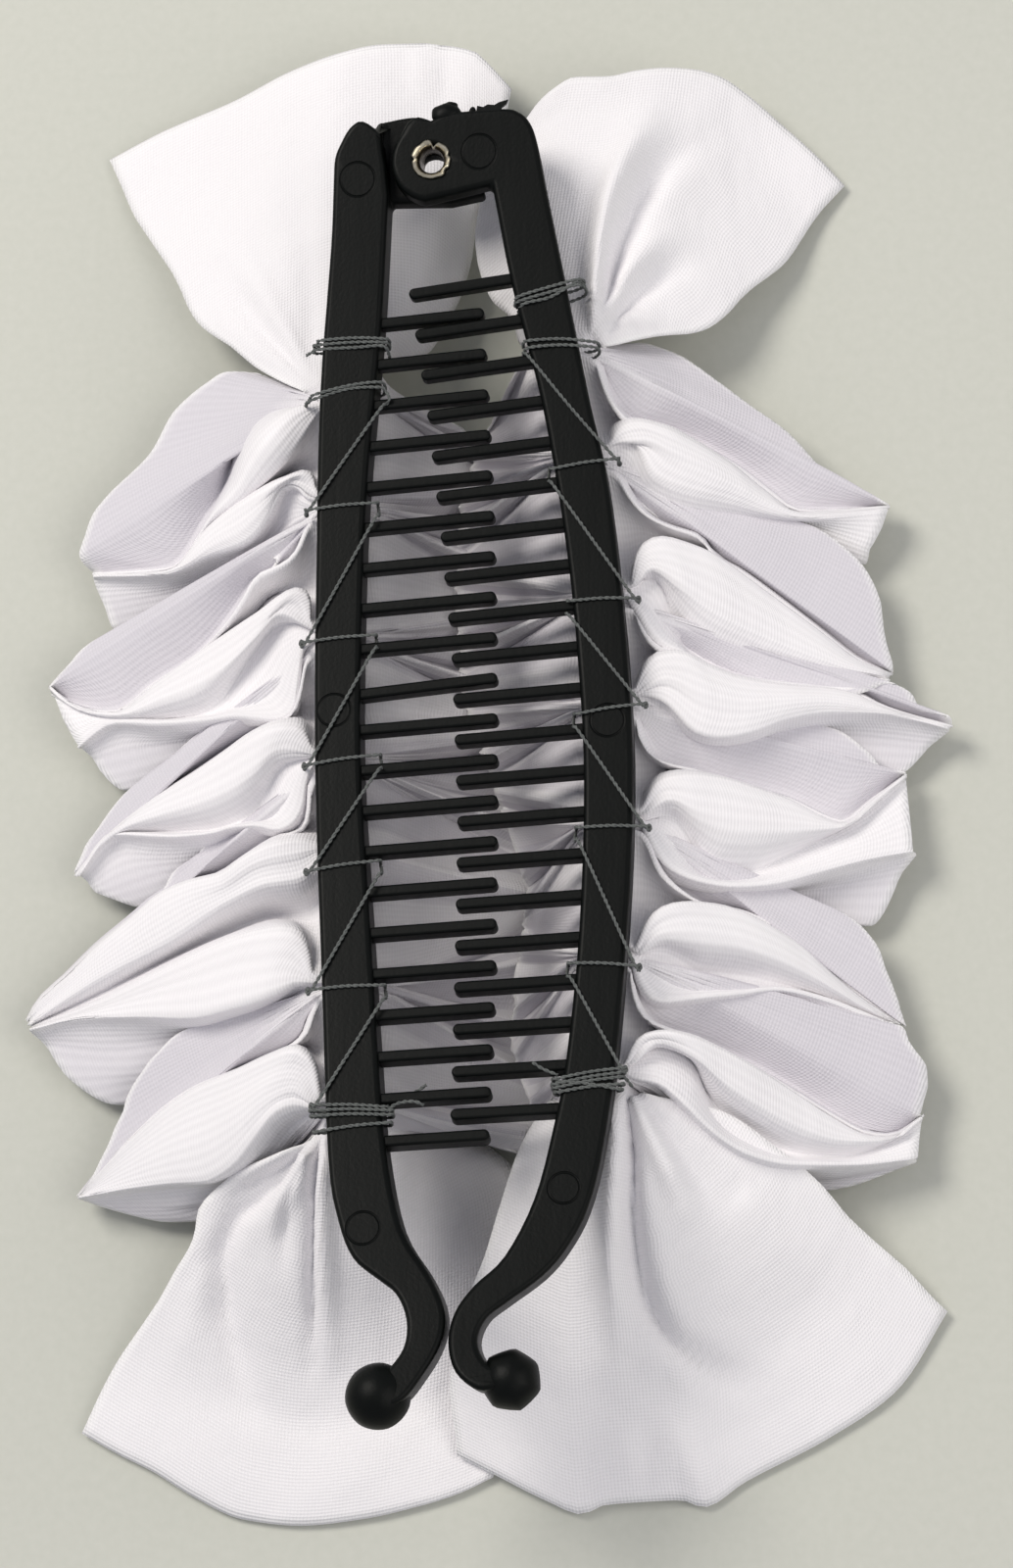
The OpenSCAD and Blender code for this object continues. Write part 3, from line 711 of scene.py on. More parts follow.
# Each petal, from its upper stitch to its lower one, all paths outwards. turn: where the raw edge
# turns in the hollow under the upper stitch. edge: the raw edge of the thin layer. strip: the roll
# beside the arm. arch: the upper line of the leaf. rows: the lines below it. under: the raw edge
# below the leaf. back: the same edge on its hidden way in. Some petals have more. valley and lobe:
# the hollow and the roll between the thin layer and the strip. lower: the stitch that ends the
# petal, where it passes over one. reach: how far the edge inside the arm goes.
left_petals = [
    dict(
        turn=(-23, 43.6),
        edge=[(-26.4, 46.6), (-30.4, 46.7), (-32.2, 45.5), (-36, 41.9), (-38.6, 37.4),
            (-43.7, 32.2), (-45.7, 29.3), (-46.6, 26)],
        valley=[(-24.1, 42.8), (-26.8, 41.6), (-28.9, 38.1), (-29.6, 35), (-32.2, 30.4),
            (-36.5, 24.6), (-45, 23.9)],
        lobe=[(-21.9, 41.8), (-24.6, 39.4), (-27, 36.2), (-28.4, 33.6), (-31.2, 30.7),
            (-36.5, 24.4), (-45, 23.8)],
        strip=[(-20.1, 41.2), (-22, 38.2), (-24.4, 35.4), (-26.6, 33.4)],
        arch=[(-19.9, 33.6), (-20.1, 35), (-21.2, 35.3), (-22.8, 34.7), (-25.5, 33.2),
            (-28.2, 31.5), (-31.8, 28.8), (-36.4, 24), (-45, 23.7)],
        rows=[("crest", [(-20.8, 32.7), (-21.9, 34), (-23.5, 33.8), (-24.6, 31.8), (-25.5, 30),
            (-26.8, 28.2), (-28.2, 27.2), (-31.8, 26), (-36.4, 23.9), (-45, 23.6)])],
        under=[
            [(-23, 29.6), (-28.2, 24.6), (-36, 21.6), (-43.7, 20.2)],
            [(-22.4, 29), (-28.2, 23.4), (-35, 20), (-42.6, 17.5)]],
        back=[(-34.6, 18.2), (-27.8, 21.6)]),
    dict(
        turn=(-24.2, 25.2),
        edge=[(-26.4, 25.7), (-28.2, 24.5), (-34, 20.6), (-38.1, 19), (-42.6, 17.4), (-45.9, 15.5),
            (-47.9, 13.4), (-49.9, 11.1)],
        strip=[(-20.4, 29.4), (-21.2, 27.3), (-22.4, 25.4), (-24.6, 24.2), (-26.2, 23.6),
            (-27.4, 21.6), (-28.9, 19.2)],
        arch=[(-20.5, 18.4), (-20.3, 20.3), (-20.6, 21.7), (-21.9, 22.1), (-23.7, 20.9),
            (-26.4, 19.1), (-29.1, 17.3), (-33.1, 14.6), (-38.1, 11.1), (-42.6, 7.9), (-46.6, 8.4),
            (-49.8, 10.8)],
        rows=[
            ("crease", [(-21.9, 18.1), (-24.1, 17.7), (-26.4, 15.2), (-28.4, 12.3), (-30.2, 9.4),
                (-33.1, 7.7), (-37.6, 7.3), (-42.6, 7.5), (-49.4, 10)]),
            ("crest", [(-21.4, 15.2), (-21.9, 11.6), (-22.3, 8.7), (-23.9, 7.4), (-26.4, 7.6),
                (-29.1, 7.8), (-33.1, 7.2), (-37.6, 6.9), (-42.6, 7), (-46.6, 4.3)])],
        under=[
            [(-24, 8), (-30, 5.4), (-38, 4), (-44.8, 2.4)],
            [(-24, 7.4), (-29, 3.6), (-36, 0.8), (-41.4, -0.7)]],
        back=[(-34.4, 1.2), (-27.4, 4.6)]),
    dict(
        turn=(-22.6, 8.4),
        edge=[(-25.8, 7.4), (-28.9, 7.6), (-31, 6.9), (-33.6, 5.2), (-35.9, 3.2), (-39.2, 0.7),
            (-42.1, -1.8), (-44.4, -5), (-46.1, -7.6), (-47.1, -10.1)],
        strip=[(-20.7, 14), (-21.4, 10.6), (-22.2, 8.2)],
        arch=[(-20.3, 4.2), (-20.8, 6.1), (-21.9, 6.8), (-24.4, 6.6), (-26.8, 5.5), (-30, 3.3),
            (-33.1, 1.2), (-37.6, -1.6), (-41.2, -4.2), (-42.9, -5.6), (-44.9, -7.9),
            (-46.9, -10.3)],
        rows=[
            ("crease", [(-21.9, 2.6), (-23.9, 1.5), (-25.1, -0.9), (-26.4, -3), (-28.9, -4.4),
                (-31.8, -5.2), (-39, -5.4), (-42.7, -5.5), (-46.8, -10.3)]),
            ("crest", [(-20.9, 0.4), (-21.2, -2.3), (-22.3, -4.4), (-24.1, -5.2), (-26.4, -4.6),
                (-29.1, -4.8), (-31.8, -5.6), (-35.4, -5.9), (-39, -5.8), (-42.7, -5.7),
                (-46.6, -10.4)])],
        under=[
            [(-25, -5.8), (-31, -8.6), (-38, -10), (-44.4, -12.2)],
            [(-25, -6.4), (-30, -10), (-35, -12.6), (-39.4, -14)]],
        back=[(-33.6, -13.2), (-27, -9)]),
    dict(
        turn=(-24, -4.6),
        edge=[(-27, -4.9), (-30.9, -5.9), (-32.7, -7.6), (-34, -9), (-35.9, -10), (-37.2, -12.2),
            (-40.6, -16.4), (-45.6, -21), (-52.2, -26.6)],
        strip=[(-20.3, -0.4), (-20.4, -2.8), (-20.8, -4.8), (-24.1, -6.1)],
        arch=[(-21.4, -6.6), (-24.3, -7), (-28.2, -8.8), (-30.4, -10.6), (-33.6, -11.3),
            (-37.6, -13), (-39.9, -15), (-44.4, -18.6), (-47.9, -22.1), (-51.1, -24.8),
            (-52.4, -26.8)],
        rows=[
            ("crest", [(-21.6, -11.2), (-25, -11.6), (-29.4, -13.4), (-36, -17.6), (-44, -21.8),
                (-52.2, -27.2)]),
            ("pocket", [(-20.8, -14.6), (-24.6, -14.8), (-29.4, -16.6), (-36, -19.6), (-44, -23.6),
                (-52.1, -27.4)]),
            ("leaf", [(-20.3, -21.8), (-20.6, -19.2), (-21.5, -17.4), (-23, -16.9), (-27.3, -17.5),
                (-30.9, -18.7), (-35.4, -20.7), (-39.9, -22.8), (-44.4, -24.9), (-52, -27.6)]),
            ("crest", [(-21.9, -22.5), (-23.7, -23.4), (-26.4, -24.5), (-30, -25.5), (-33.1, -26.3),
                (-39.9, -26.3), (-46.6, -26.6), (-52.2, -27.9)])],
        under=[
            [(-24, -25), (-32, -28.2), (-42, -30), (-50.6, -29.4)],
            [(-24, -25.6), (-32, -30.6), (-41, -33), (-47.6, -33.4)],
            [(-24, -26), (-30, -30.6), (-36, -34), (-42, -36.3)]],
        back=[(-35.2, -34), (-27, -29.6)],
        lower=5),
    dict(
        turn=(-23.9, -25.2),
        edge=[(-30.6, -26.9), (-35.4, -28.4), (-37.8, -30.7), (-39.9, -33.3), (-41.4, -36),
            (-42.4, -38.9), (-44.1, -42.7), (-46.6, -46.8)],
        strip=[(-19.9, -26), (-20.5, -28.2), (-22, -29.6)],
        arch=[(-19.4, -35.8), (-19.6, -33.7), (-20.3, -31.3), (-21.9, -30.1), (-24.6, -31),
            (-29.1, -33), (-33.1, -34.6), (-36.3, -36.6), (-39.9, -39.8), (-42.1, -41.9),
            (-46.6, -46.8)],
        rows=[
            ("crest", [(-20.3, -36.6), (-21.9, -36.2), (-24.1, -36.9), (-25.9, -38.9),
                (-27.3, -40.9), (-29.1, -43.2), (-30.9, -44.5), (-32.2, -45.1), (-36.3, -45.3),
                (-39.9, -45.7), (-46.6, -46.9)]),
            ("crease", [(-20.4, -37.6), (-22.4, -39.2), (-24.4, -41.6), (-27.3, -44),
                (-30.4, -45.2), (-36.3, -45.9), (-46.4, -47)])],
        under=[
            [(-23, -41.6), (-29, -46.4), (-36, -48), (-43.5, -48.1)],
            [(-23, -41.8), (-28, -46.6), (-33, -49.4), (-36.4, -49.6)]],
        back=[(-31, -49.4), (-25, -44.4)],
        reach=-50)]
right_petals = [
    dict(
        turn=(13.6, 49),
        edge=[(14.2, 49.2), (17, 49.9), (19.6, 49.2), (22.9, 47.6), (26.2, 45.3), (29.9, 42.7),
            (33.1, 40.4), (36.4, 37.1), (38.3, 35.2), (45, 31.8)],
        strip=[(12, 47.6), (12.6, 45.6), (13.9, 42.8), (16, 40.7)],
        arch=[(13.6, 38.4), (14.6, 40.1), (16.8, 40.8), (19.7, 40), (22.8, 38.6), (27.5, 36),
            (31.6, 32.9), (35, 30.7), (45.2, 31.4)],
        rows=[
            ("crest", [(15.2, 38.9), (16.6, 38.6), (17.6, 36.8), (18.4, 35), (20.2, 34),
                (23.8, 32.9), (27.5, 32.1), (31.1, 30.9), (35, 30.1), (45, 31)]),
            ("crease", [(14.6, 36.4), (16.4, 33.6), (18.4, 31.8), (21, 30.6), (24.4, 30),
                (29, 29.8), (35, 29.6), (39, 28.2), (43.4, 26.6)])],
        under=[[(17.6, 31.8), (20.8, 29.8), (30, 28.6), (42.6, 24.9)]],
        back=[(32.2, 26.4), (24.4, 27.2)]),
    dict(
        turn=(17.4, 31.4),
        edge=[(20, 30.2), (24.6, 29.5), (30.6, 29.7), (35.8, 29.3), (40, 26.9), (42.6, 24.3),
            (43.9, 21.7), (44.5, 19.1), (44.9, 16), (45.7, 12.8)],
        strip=[(14.5, 34.7), (15.6, 32.7), (17.9, 30.3), (20.7, 29), (23.8, 28)],
        arch=[(16.1, 22.3), (16.3, 24.3), (16.9, 26.4), (17.9, 27.3), (19.4, 27.7), (22.3, 27),
            (24.9, 26.2), (28.5, 23.8), (32.7, 20.7), (37.9, 16.8), (42, 13.7), (45.5, 12.5)],
        rows=[
            ("crease", [(16, 22.3), (16.8, 23.2), (18.4, 23.2), (19.4, 22.3), (20.3, 19.7),
                (21.2, 17.1), (22.4, 15.2), (25, 13.9), (30, 12.6), (37, 11.8), (45.3, 12.1)]),
            ("crest", [(16.9, 19.4), (18.2, 17.2), (20, 15.6), (21.9, 14.9), (24.4, 13.2),
                (28.5, 11.9), (33.7, 11.3), (40, 10.7), (45, 11.7)])],
        under=[[(19, 14.4), (26, 11.4), (36, 10.2), (43, 10.7)]],
        back=[(34.4, 9.4), (24.6, 11)]),
    dict(
        turn=(18.8, 15.4),
        edge=[(22.8, 14), (33.3, 10.6), (40, 9.8), (43.6, 10.8), (45.7, 11.3), (47.8, 10.3),
            (48.9, 8.5), (51.9, 7.7)],
        strip=[(16.3, 19.7), (17.1, 17.6), (19.2, 15.2)],
        arch=[(16.5, 10.3), (17.3, 12.4), (18.9, 14.2), (21.5, 14.6), (24.4, 13.2), (28.5, 11.7),
            (33.7, 11), (38, 10.7), (41, 10.2), (44.4, 8.6), (52.3, 6.5)],
        rows=[("crest", [(16.3, 9.8), (17.3, 10.3), (18.9, 10), (20.3, 9.3), (21.8, 7.7),
            (23.3, 6.1), (25.9, 5.4), (29.6, 5.9), (33.7, 7.4), (38.9, 8.2), (44.1, 8.1),
            (48.3, 7.3), (52.2, 6.3)])],
        under=[
            [(20, 6.8), (26, 4.6), (38, 5.4), (50, 4.4)],
            [(20, 6.2), (26, 3), (36, 1), (46.2, 0.9)]],
        back=[(36, 0.4), (26, 2.6)]),
    dict(
        turn=(19.6, 5.4),
        edge=[(24.4, 5.8), (31.1, 6.4), (35.8, 6.7), (40, 5.9), (42.6, 3.8), (44.4, 1.9),
            (47.2, 1.2)],
        strip=[(16.6, 6.4), (17.9, 3.5), (20.2, 2.2), (23.8, 1.4)],
        arch=[(17, -3.2), (17.9, -1.4), (19.2, 0.2), (21.8, 0.7), (25.4, 0.5), (29.6, -0.6),
            (33.7, -1.9), (37.9, -4), (40, -4.7), (43.1, -2.4), (47.2, 0.9)],
        rows=[
            ("crease", [(17.4, -4.2), (19.2, -3.6), (21, -4), (22.3, -5.8), (23.6, -8.9),
                (25.2, -10.2), (29, -10.2), (32.7, -8.7), (36.3, -6.9), (40, -5.1), (43.4, -2.8),
                (47.2, 0.7)]),
            ("crest", [(17.9, -5.8), (19.4, -8.4), (20.7, -9.6), (23.8, -10.9), (27.5, -11.5),
                (31.6, -11.3), (37.9, -9.7), (43.1, -8.4), (48.2, -7.6)])],
        under=[
            [(20, -10.4), (27, -12.8), (36, -12), (46.4, -10.8)],
            [(20, -10.8), (27, -14), (35, -15), (43.3, -16)]],
        back=[(35, -14.6), (26, -12.6)]),
    dict(
        turn=(20, -9.7),
        edge=[(23.9, -11.1), (27.5, -11.6), (31.6, -12.2), (35.8, -13.1), (40, -14.7),
            (42.6, -16.6), (44.2, -18.8), (45.4, -22.5), (46.5, -25.1), (47, -27.4)],
        strip=[(17.8, -6.9), (19, -9.8), (21.2, -12), (24.4, -13.7)],
        arch=[(16.4, -19.1), (17.2, -17.3), (18.6, -14.9), (20.5, -13.9), (23.3, -13.7),
            (27.5, -14.3), (30.6, -15.5), (34.8, -18), (38.9, -21.7), (42, -24.3), (46.4, -27.2)],
        rows=[
            ("crease", [(17, -19.4), (18.1, -19.1), (19.9, -19.3), (21.8, -20.4), (23.4, -21.5),
                (27.5, -21.8), (32.7, -22.7), (37.9, -24.1), (43.1, -26.2), (46.4, -27.4)]),
            ("crest", [(16.8, -21.7), (17.9, -23.8), (19.2, -24.5), (23.8, -24.1), (28.5, -23.7),
                (32.7, -23.2), (37.9, -24.4), (43.1, -26.4), (46, -27.7)])],
        under=[[(19, -24.8), (28, -25.2), (38, -26), (45, -28.4)]],
        back=[(35, -28), (25, -26.6)]),
    dict(
        turn=(19, -24.4),
        edge=[(24, -24.4), (30, -23.8), (36, -24.4), (42.8, -26.4), (46.7, -27.5), (48.3, -30.3),
            (49.4, -32.3), (49.3, -36), (48.9, -37.5)],
        strip=[(16, -22.5), (16.6, -25.1), (17.9, -26.9), (20.2, -27.9), (23.8, -29)],
        arch=[(15.2, -32.1), (16, -29.9), (17.3, -28.5), (19.7, -28.1), (22.8, -28.8),
            (26.4, -30.4), (30.6, -32.7), (34.8, -35.3), (38.9, -37.9), (43.1, -40), (45.6, -40.2),
            (49, -37.8)],
        rows=[
            ("crease", [(15.7, -31.8), (16.8, -30.8), (19.2, -29.9), (22, -30.6), (23.4, -32),
                (23.9, -33.8), (25.6, -36.6), (28.5, -38.8), (31.5, -40.7), (34.2, -41.9),
                (40, -42.2), (45.4, -40.6), (48.9, -38.2)]),
            ("crest", [(16, -33), (19, -33.6), (22, -36), (25.4, -39.4), (29.6, -42), (34, -43),
                (41, -43.1), (48.5, -42.4)])],
        under=[
            [(20, -36), (28, -42.6), (37, -44.8), (46.7, -43.4)],
            [(20, -36), (27, -42.4), (33, -45.4), (38, -46)]],
        back=[(31, -44.6), (25, -40)],
        reach=-46)]
# The ends of the strips, as they open from their last stitch to the cut end. end: the cut end, from
# its inner corner to its outer one, across, up and height. outer and inner: the raw edges, from the
# stitch. middle: the heights of the line between them. share: the part of the width inside the arm.
# press: folds, as a height, a width and a path.
left_ear = dict(
    stitch=40.6,
    share=0.40,
    end=[(2.5, 78.7, 5), (0.3, 81.1, 5.5), (-2, 83.1, 6), (-8, 83.9, 6.5), (-12.4, 83.8, 7.5),
        (-16.9, 82.9, 8), (-22.4, 80.9, 6.5), (-29, 77.4, 4), (-37.3, 73.8, 2.2),
        (-43.2, 70.7, 0.7)],
    outer=[(-22.4, 45, 12), (-25.1, 46.4, 10), (-29, 49.1, 8), (-33.1, 52.4, 6), (-35.1, 56.3, 4.6),
        (-37.8, 60.7, 3), (-40.6, 65.1, 1.6)],
    inner=[(-13, 45.6, 11), (-7, 49, 7), (-3.6, 54.5, 6), (-2.6, 57.8, 5.8), (-1.2, 65, 5.2),
        (1.4, 73, 5)],
    middle=[13.6, 13, 12.6, 12.5, 12.3, 11.4, 9.6, 8],
    press=[
        (0.7, 1.6, [(-20.5, 46), (-23, 51), (-26.6, 57.2), (-30, 62)]),
        (-0.5, 1.3, [(-20.5, 46), (-24.2, 50), (-28.2, 55.4), (-32, 59.6)]),
        (0.5, 1.5, [(-21, 46), (-27, 49.6), (-33, 55)]),
        (-0.6, 2.2, [(-19.6, 47), (-20.4, 56), (-21.6, 66), (-22, 76)]),
        (0.5, 1.2, [(-7.4, 84), (-7.2, 80), (-7.6, 76)]),
        (-0.5, 1.2, [(-5.4, 84), (-5.2, 80), (-5.6, 76)]),
        (0.7, 2.2, [(-14, 47), (-9, 56), (-6.4, 66), (-5, 76)])])
right_ear = dict(
    stitch=45.7,
    share=0.24,
    end=[(4.4, 75.5, 12), (5, 76.6, 12), (7.2, 78.8, 12), (9.6, 80.1, 11.5), (13.4, 80.2, 10.5),
        (16.7, 80.9, 9.5), (20, 81.2, 8.5), (23.3, 81, 7.2), (26.1, 80.2, 6), (29, 78.3, 4.5),
        (32.8, 75, 3), (37, 71.2, 1.8), (40.1, 67.9, 0.8)],
    outer=[(13.6, 49.8, 13), (16.7, 50.4, 11.5), (20.5, 50.9, 9.8), (24, 51.4, 8.2),
        (26.6, 52.8, 6.8), (29.9, 56.1, 4.8), (33.2, 58.9, 3.2), (36.5, 63.6, 1.6)],
    inner=[(7, 48.5, 12), (3.6, 49.7, 10), (2.4, 52.9, 9.4), (0.2, 55, 9.6), (-1.8, 61, 11),
        (0.4, 70, 12)],
    middle=[14.2, 13.8, 13.4, 13.4, 13.4, 13.3, 12.6, 10.8],
    press=[
        (2.6, 1.5, [(11.9, 50.4), (12.1, 56.1), (12.6, 60.8), (13.5, 65.5), (15.3, 70.3),
            (17.4, 74), (19.4, 78)]),
        (-2.2, 1.7, [(13.1, 53), (14.6, 61.8), (16.6, 66.5), (18.9, 70), (22.4, 72.2), (26, 73.2)]),
        (1.5, 1.4, [(12.6, 51.4), (15, 57.2), (18.6, 61), (22.4, 62.6)]),
        (-1.3, 1.3, [(12.8, 50.8), (16.4, 55.4), (19.6, 58), (23.6, 59.2)]),
        (0.8, 0.9, [(12.2, 50), (13.6, 52.6), (16, 52.9), (19.4, 52.2), (22, 51.6)])])
left_flap = dict(
    stitch=-43.4,
    share=0.38,
    end=[(0.4, -78.6, 0.7), (-3.6, -80.5, 0.6), (-8.1, -81.9, 0.6), (-14.9, -83.4, 0.6),
        (-21.7, -84.1, 0.6), (-27.9, -83.4, 0.6), (-33.6, -80.8, 0.6), (-38.1, -78, 0.6),
        (-42.7, -75.7, 0.6), (-46.3, -73.6, 0.7)],
    outer=[(-20.6, -40.4, 16), (-24.5, -42.3, 13.6), (-27.9, -43.7, 11.6), (-31.3, -46.3, 9.6),
        (-33, -48.3, 8.4), (-33.6, -51.4, 7.4), (-36.4, -56.5, 5.2), (-39.3, -61, 3.4),
        (-42.7, -66.1, 1.8)],
    inner=[(-9, -38, 6), (-2, -40, 1.4), (4, -46, 1), (5, -56, 0.9), (3.6, -68, 0.8)],
    middle=[17.8, 16.4, 13.6, 10.4, 6.6, 3.6, 1.6, 0.8],
    press=[
        (1.8, 1.2, [(-18.4, -40), (-18.8, -46), (-18.8, -53.6), (-18.5, -60), (-18, -68)]),
        (-2.2, 0.8, [(-19.4, -40), (-20.1, -46), (-20.2, -54), (-20.1, -61), (-19.9, -68)]),
        (2.4, 1.3, [(-20.2, -41), (-21.9, -45), (-23.8, -48.4), (-25, -51.4)]),
        (-1.2, 0.8, [(-20.8, -42.6), (-22.8, -47), (-23.4, -51), (-23.2, -56)]),
        (-2, 1.5, [(-20.6, -41.6), (-24.8, -45.6), (-29, -49), (-30.6, -53), (-30, -60), (-28, -67),
            (-26, -73)]),
        (1.2, 0.8, [(-21, -40.8), (-25, -42.9), (-28.6, -44.7), (-31.4, -47.4)]),
        (-0.9, 0.6, [(-21, -41.6), (-24.6, -43.9), (-28, -45.9), (-30.6, -48.6)]),
        (0.5, 2.4, [(-32, -54), (-34, -62), (-36, -70)]),
        (-0.5, 3, [(-12, -56), (-10, -66), (-9, -76)])])
right_flap = dict(
    stitch=-40.4,
    share=0.32,
    end=[(-3.6, -76.2, 2), (1.1, -78.6, 1.4), (6.3, -81.2, 0.9), (10.5, -82.8, 0.7),
        (12.7, -81.8, 0.8), (17.2, -81.4, 1), (21.8, -81.2, 0.8), (24.2, -82, 0.7),
        (28.9, -79.2, 0.7), (38.6, -74.1, 0.7), (46.3, -68.6, 0.7), (51.8, -59.9, 0.8)],
    outer=[(17, -34.8, 17), (19.2, -35.6, 15.6), (23.7, -36.4, 13.4), (26.3, -37.2, 12.4),
        (32.1, -41.1, 10), (36, -44, 8.4), (42.4, -50.5, 5)],
    inner=[(5.6, -37.6, 16), (3, -42.7, 14), (1.1, -48.6, 13), (-0.4, -53.1, 11.6), (-3, -60, 9),
        (-4.4, -67.3, 5.6)],
    middle=[19.4, 18, 16.2, 13.6, 10, 6.6, 3.6, 1.4],
    press=[
        (2.2, 1.2, [(14.6, -34), (14.2, -40.8), (13.7, -47.9), (13.6, -55.7), (14.4, -63),
            (14, -70)]),
        (-2.8, 1.3, [(15.6, -35), (16.2, -42), (16.1, -48), (16.5, -54), (18, -59.4), (20.8, -63.6),
            (25.6, -66.6), (32, -68.8)]),
        (1.7, 1.3, [(15.8, -34.6), (17.4, -38), (19.6, -42.4), (21.6, -46.4), (22.6, -50.4)]),
        (-0.9, 1.4, [(16.6, -35.4), (20.6, -40.6), (24.2, -46), (26, -50)]),
        (0.9, 4, [(28, -46), (32, -52), (36, -58)]),
        (0.6, 1.6, [(24, -81), (22, -76), (20, -70)]),
        (-0.5, 1.4, [(18, -81), (17.6, -76), (17, -70)])])


class Strip:
    """One ruffle, gathered row by row from its ear to its flap."""

    def __init__(self, side, outer, inner, pinch):
        self.side, self.outer, self.inner, self.pinch = side, outer, inner, pinch
        self.rows, self.steps, self.sheer, self.presses = [], [], [], []
        self.spread = np.linspace(0, 1, OUT + 1) ** 1.15

    def add(self, points, steps, sheer):
        """Adds a finished row, the most steps from it to the next one and how much darker it is
        painted, for see-through and painted shade.
        """
        self.rows.append(points)
        self.steps.append(steps)
        self.sheer.append(sheer)

    def root(self, y, lift=0.0):
        """The place where the cloth leaves the outside of the arm."""
        return Vector((edge_x(self.outer, y) + self.side * 0.35, y, bow(y, ARM_DEPTH) + lift))

    def inside(self, y, far_y, wave):
        """The points of a row inside the arm, from its free edge."""
        height, swing, fall = (3.2, 0.8, 1.9) if self.side < 0 else (6.4, 1.2, 1.3)
        start = Vector((edge_x(self.inner, y) - self.side * 0.1, y, bow(y, ARM_DEPTH) - 0.2))
        up = shown(Vector((0, far_y, 4)))[1]
        end = seen(float(np.interp(up, *FREE_EDGE[self.side])), up, height + swing * wave)
        out = []
        for t in np.linspace(1, 0, IN):
            point = start.lerp(end, t)
            point.z = end.z + (start.z - end.z) * (1 - t) ** fall
            point.z += 1.3 * wave * math.sin(math.pi * t) ** 0.7
            out.append(tuple(point))
        return out

    def row(self, root_y, path, kind, inner, far=None):
        """Adds a row from its root along its path, with the fall of its kind. far: its end's height
        where it isn't the usual one."""
        fall, height, lift = FALL[kind]
        height = height if far is None else far
        root = self.root(root_y, lift)
        flat = np.array([shown(root)] + [tuple(p) for p in path])
        line = [tuple(root)]
        for (across, up), t in zip(flat[1:], part_along(flat)[1:]):
            part = float(np.interp(t, np.linspace(0, 1, 6), fall))
            line.append(tuple(seen(across, up, height + (root.z - height) * part)))
        line = np.array(line)
        s = along(line)
        outside = curve_through(s, line, self.spread * s[-1])
        self.add(self.inside(root_y, *inner) + [tuple(p) for p in outside], MOST_STEPS,
                 SEE_THROUGH_AND_SHADE.get(kind, 0))

    def petal(self, k, shape):
        """The rows of one petal, between two stitches. Its roots are a little apart, round the
        upper stitch and then round the lower one."""
        side, here, anchor = self.side, self.pinch[k], self.pinch[k + 1]
        there = self.pinch[shape.get("lower", k + 1)]
        total = len(shape["edge"]) + len(shape["rows"]) * 2 + len(shape["under"]) + 10
        count = [0]

        def inner():
            """Where the next row's inner edge is along Y, and its wave up or down."""
            count[0] += 1
            share = count[0] / total
            wave = math.asin(math.sin(math.tau * share * 3.5 + 0.9 * k)) * 0.7
            return here + (shape.get("reach", there) - here) * share, wave

        def straight(root_y, far):
            """A straight path from the arm."""
            start = shown(self.root(root_y))
            return [mix(start, far, t) for t in (0.25, 0.5, 0.75, 1)]

        def tail(path, from_x, offset):
            """The rest of the arch beyond a place, slid to the thin side."""
            rest = [p for p in path if abs(p[0]) > abs(from_x) + 0.9]
            return slide(rest, offset, side)

        arch, strip = shape["arch"], shape["strip"]
        self.row(here + 0.2, straight(here, shape["turn"]), "turn", inner(), far=8)
        for j, far in enumerate(shape["edge"]):
            out = (j + 1) / len(shape["edge"])
            near = (1 - out) ** 1.5
            self.row(here + 0.1 - 0.5 * out, straight(here, far), "thin", inner(),
                     far=self.root(here).z * STITCH_HEIGHT * near + EDGE_HEIGHT * (1 - near))
        if "valley" in shape:
            self.row(here - 0.5, shape["valley"], "crevice", inner())
            self.row(here - 0.7, shape["lobe"], "lobe", inner())
        else:
            beside = [(x + side * 0.7, y - 0.1) for x, y in strip]
            self.row(here - 0.6, beside + tail(arch, strip[-1][0], 0.6), "crevice", inner())
        self.row(here - 1, strip + tail(arch, strip[-1][0], 0.3), "strip", inner())
        hollow = here + (anchor - here) * 0.5
        corner = mix(strip[-1], arch[3], 0.5)
        entry = mix(shown(self.root(hollow)), corner, 0.5)
        self.row(hollow, [entry, corner] + tail(arch, corner[0], 0.12), "pocket", inner())
        self.row(anchor + 1.5, arch, "arch", inner())
        for j, (kind, path) in enumerate(shape["rows"]):
            if j == 0:
                self.row(anchor + 1.2, halfway(arch, path), "leaf", inner())
            if "lower" in shape and j < 2:
                root_y = anchor - (0.2, 3.4)[j]
            else:
                root_y = there + 1.2 - 0.25 * j
            self.row(root_y, path, kind, inner())
            if kind == "crest" and j == len(shape["rows"]) - 1:
                self.row(there + 0.6, slide(path, -0.9, side), "tuck", inner())
        for j, path in enumerate(shape["under"]):
            self.row(there + 0.45 - 0.15 * j, path, "under", inner(), far=3 - 0.5 * j)
        for j, far in enumerate(shape["back"]):
            self.row(there + 0.15 - 0.1 * j, straight(there, far), "back", inner(),
                     far=2.6 + 2.4 * j)

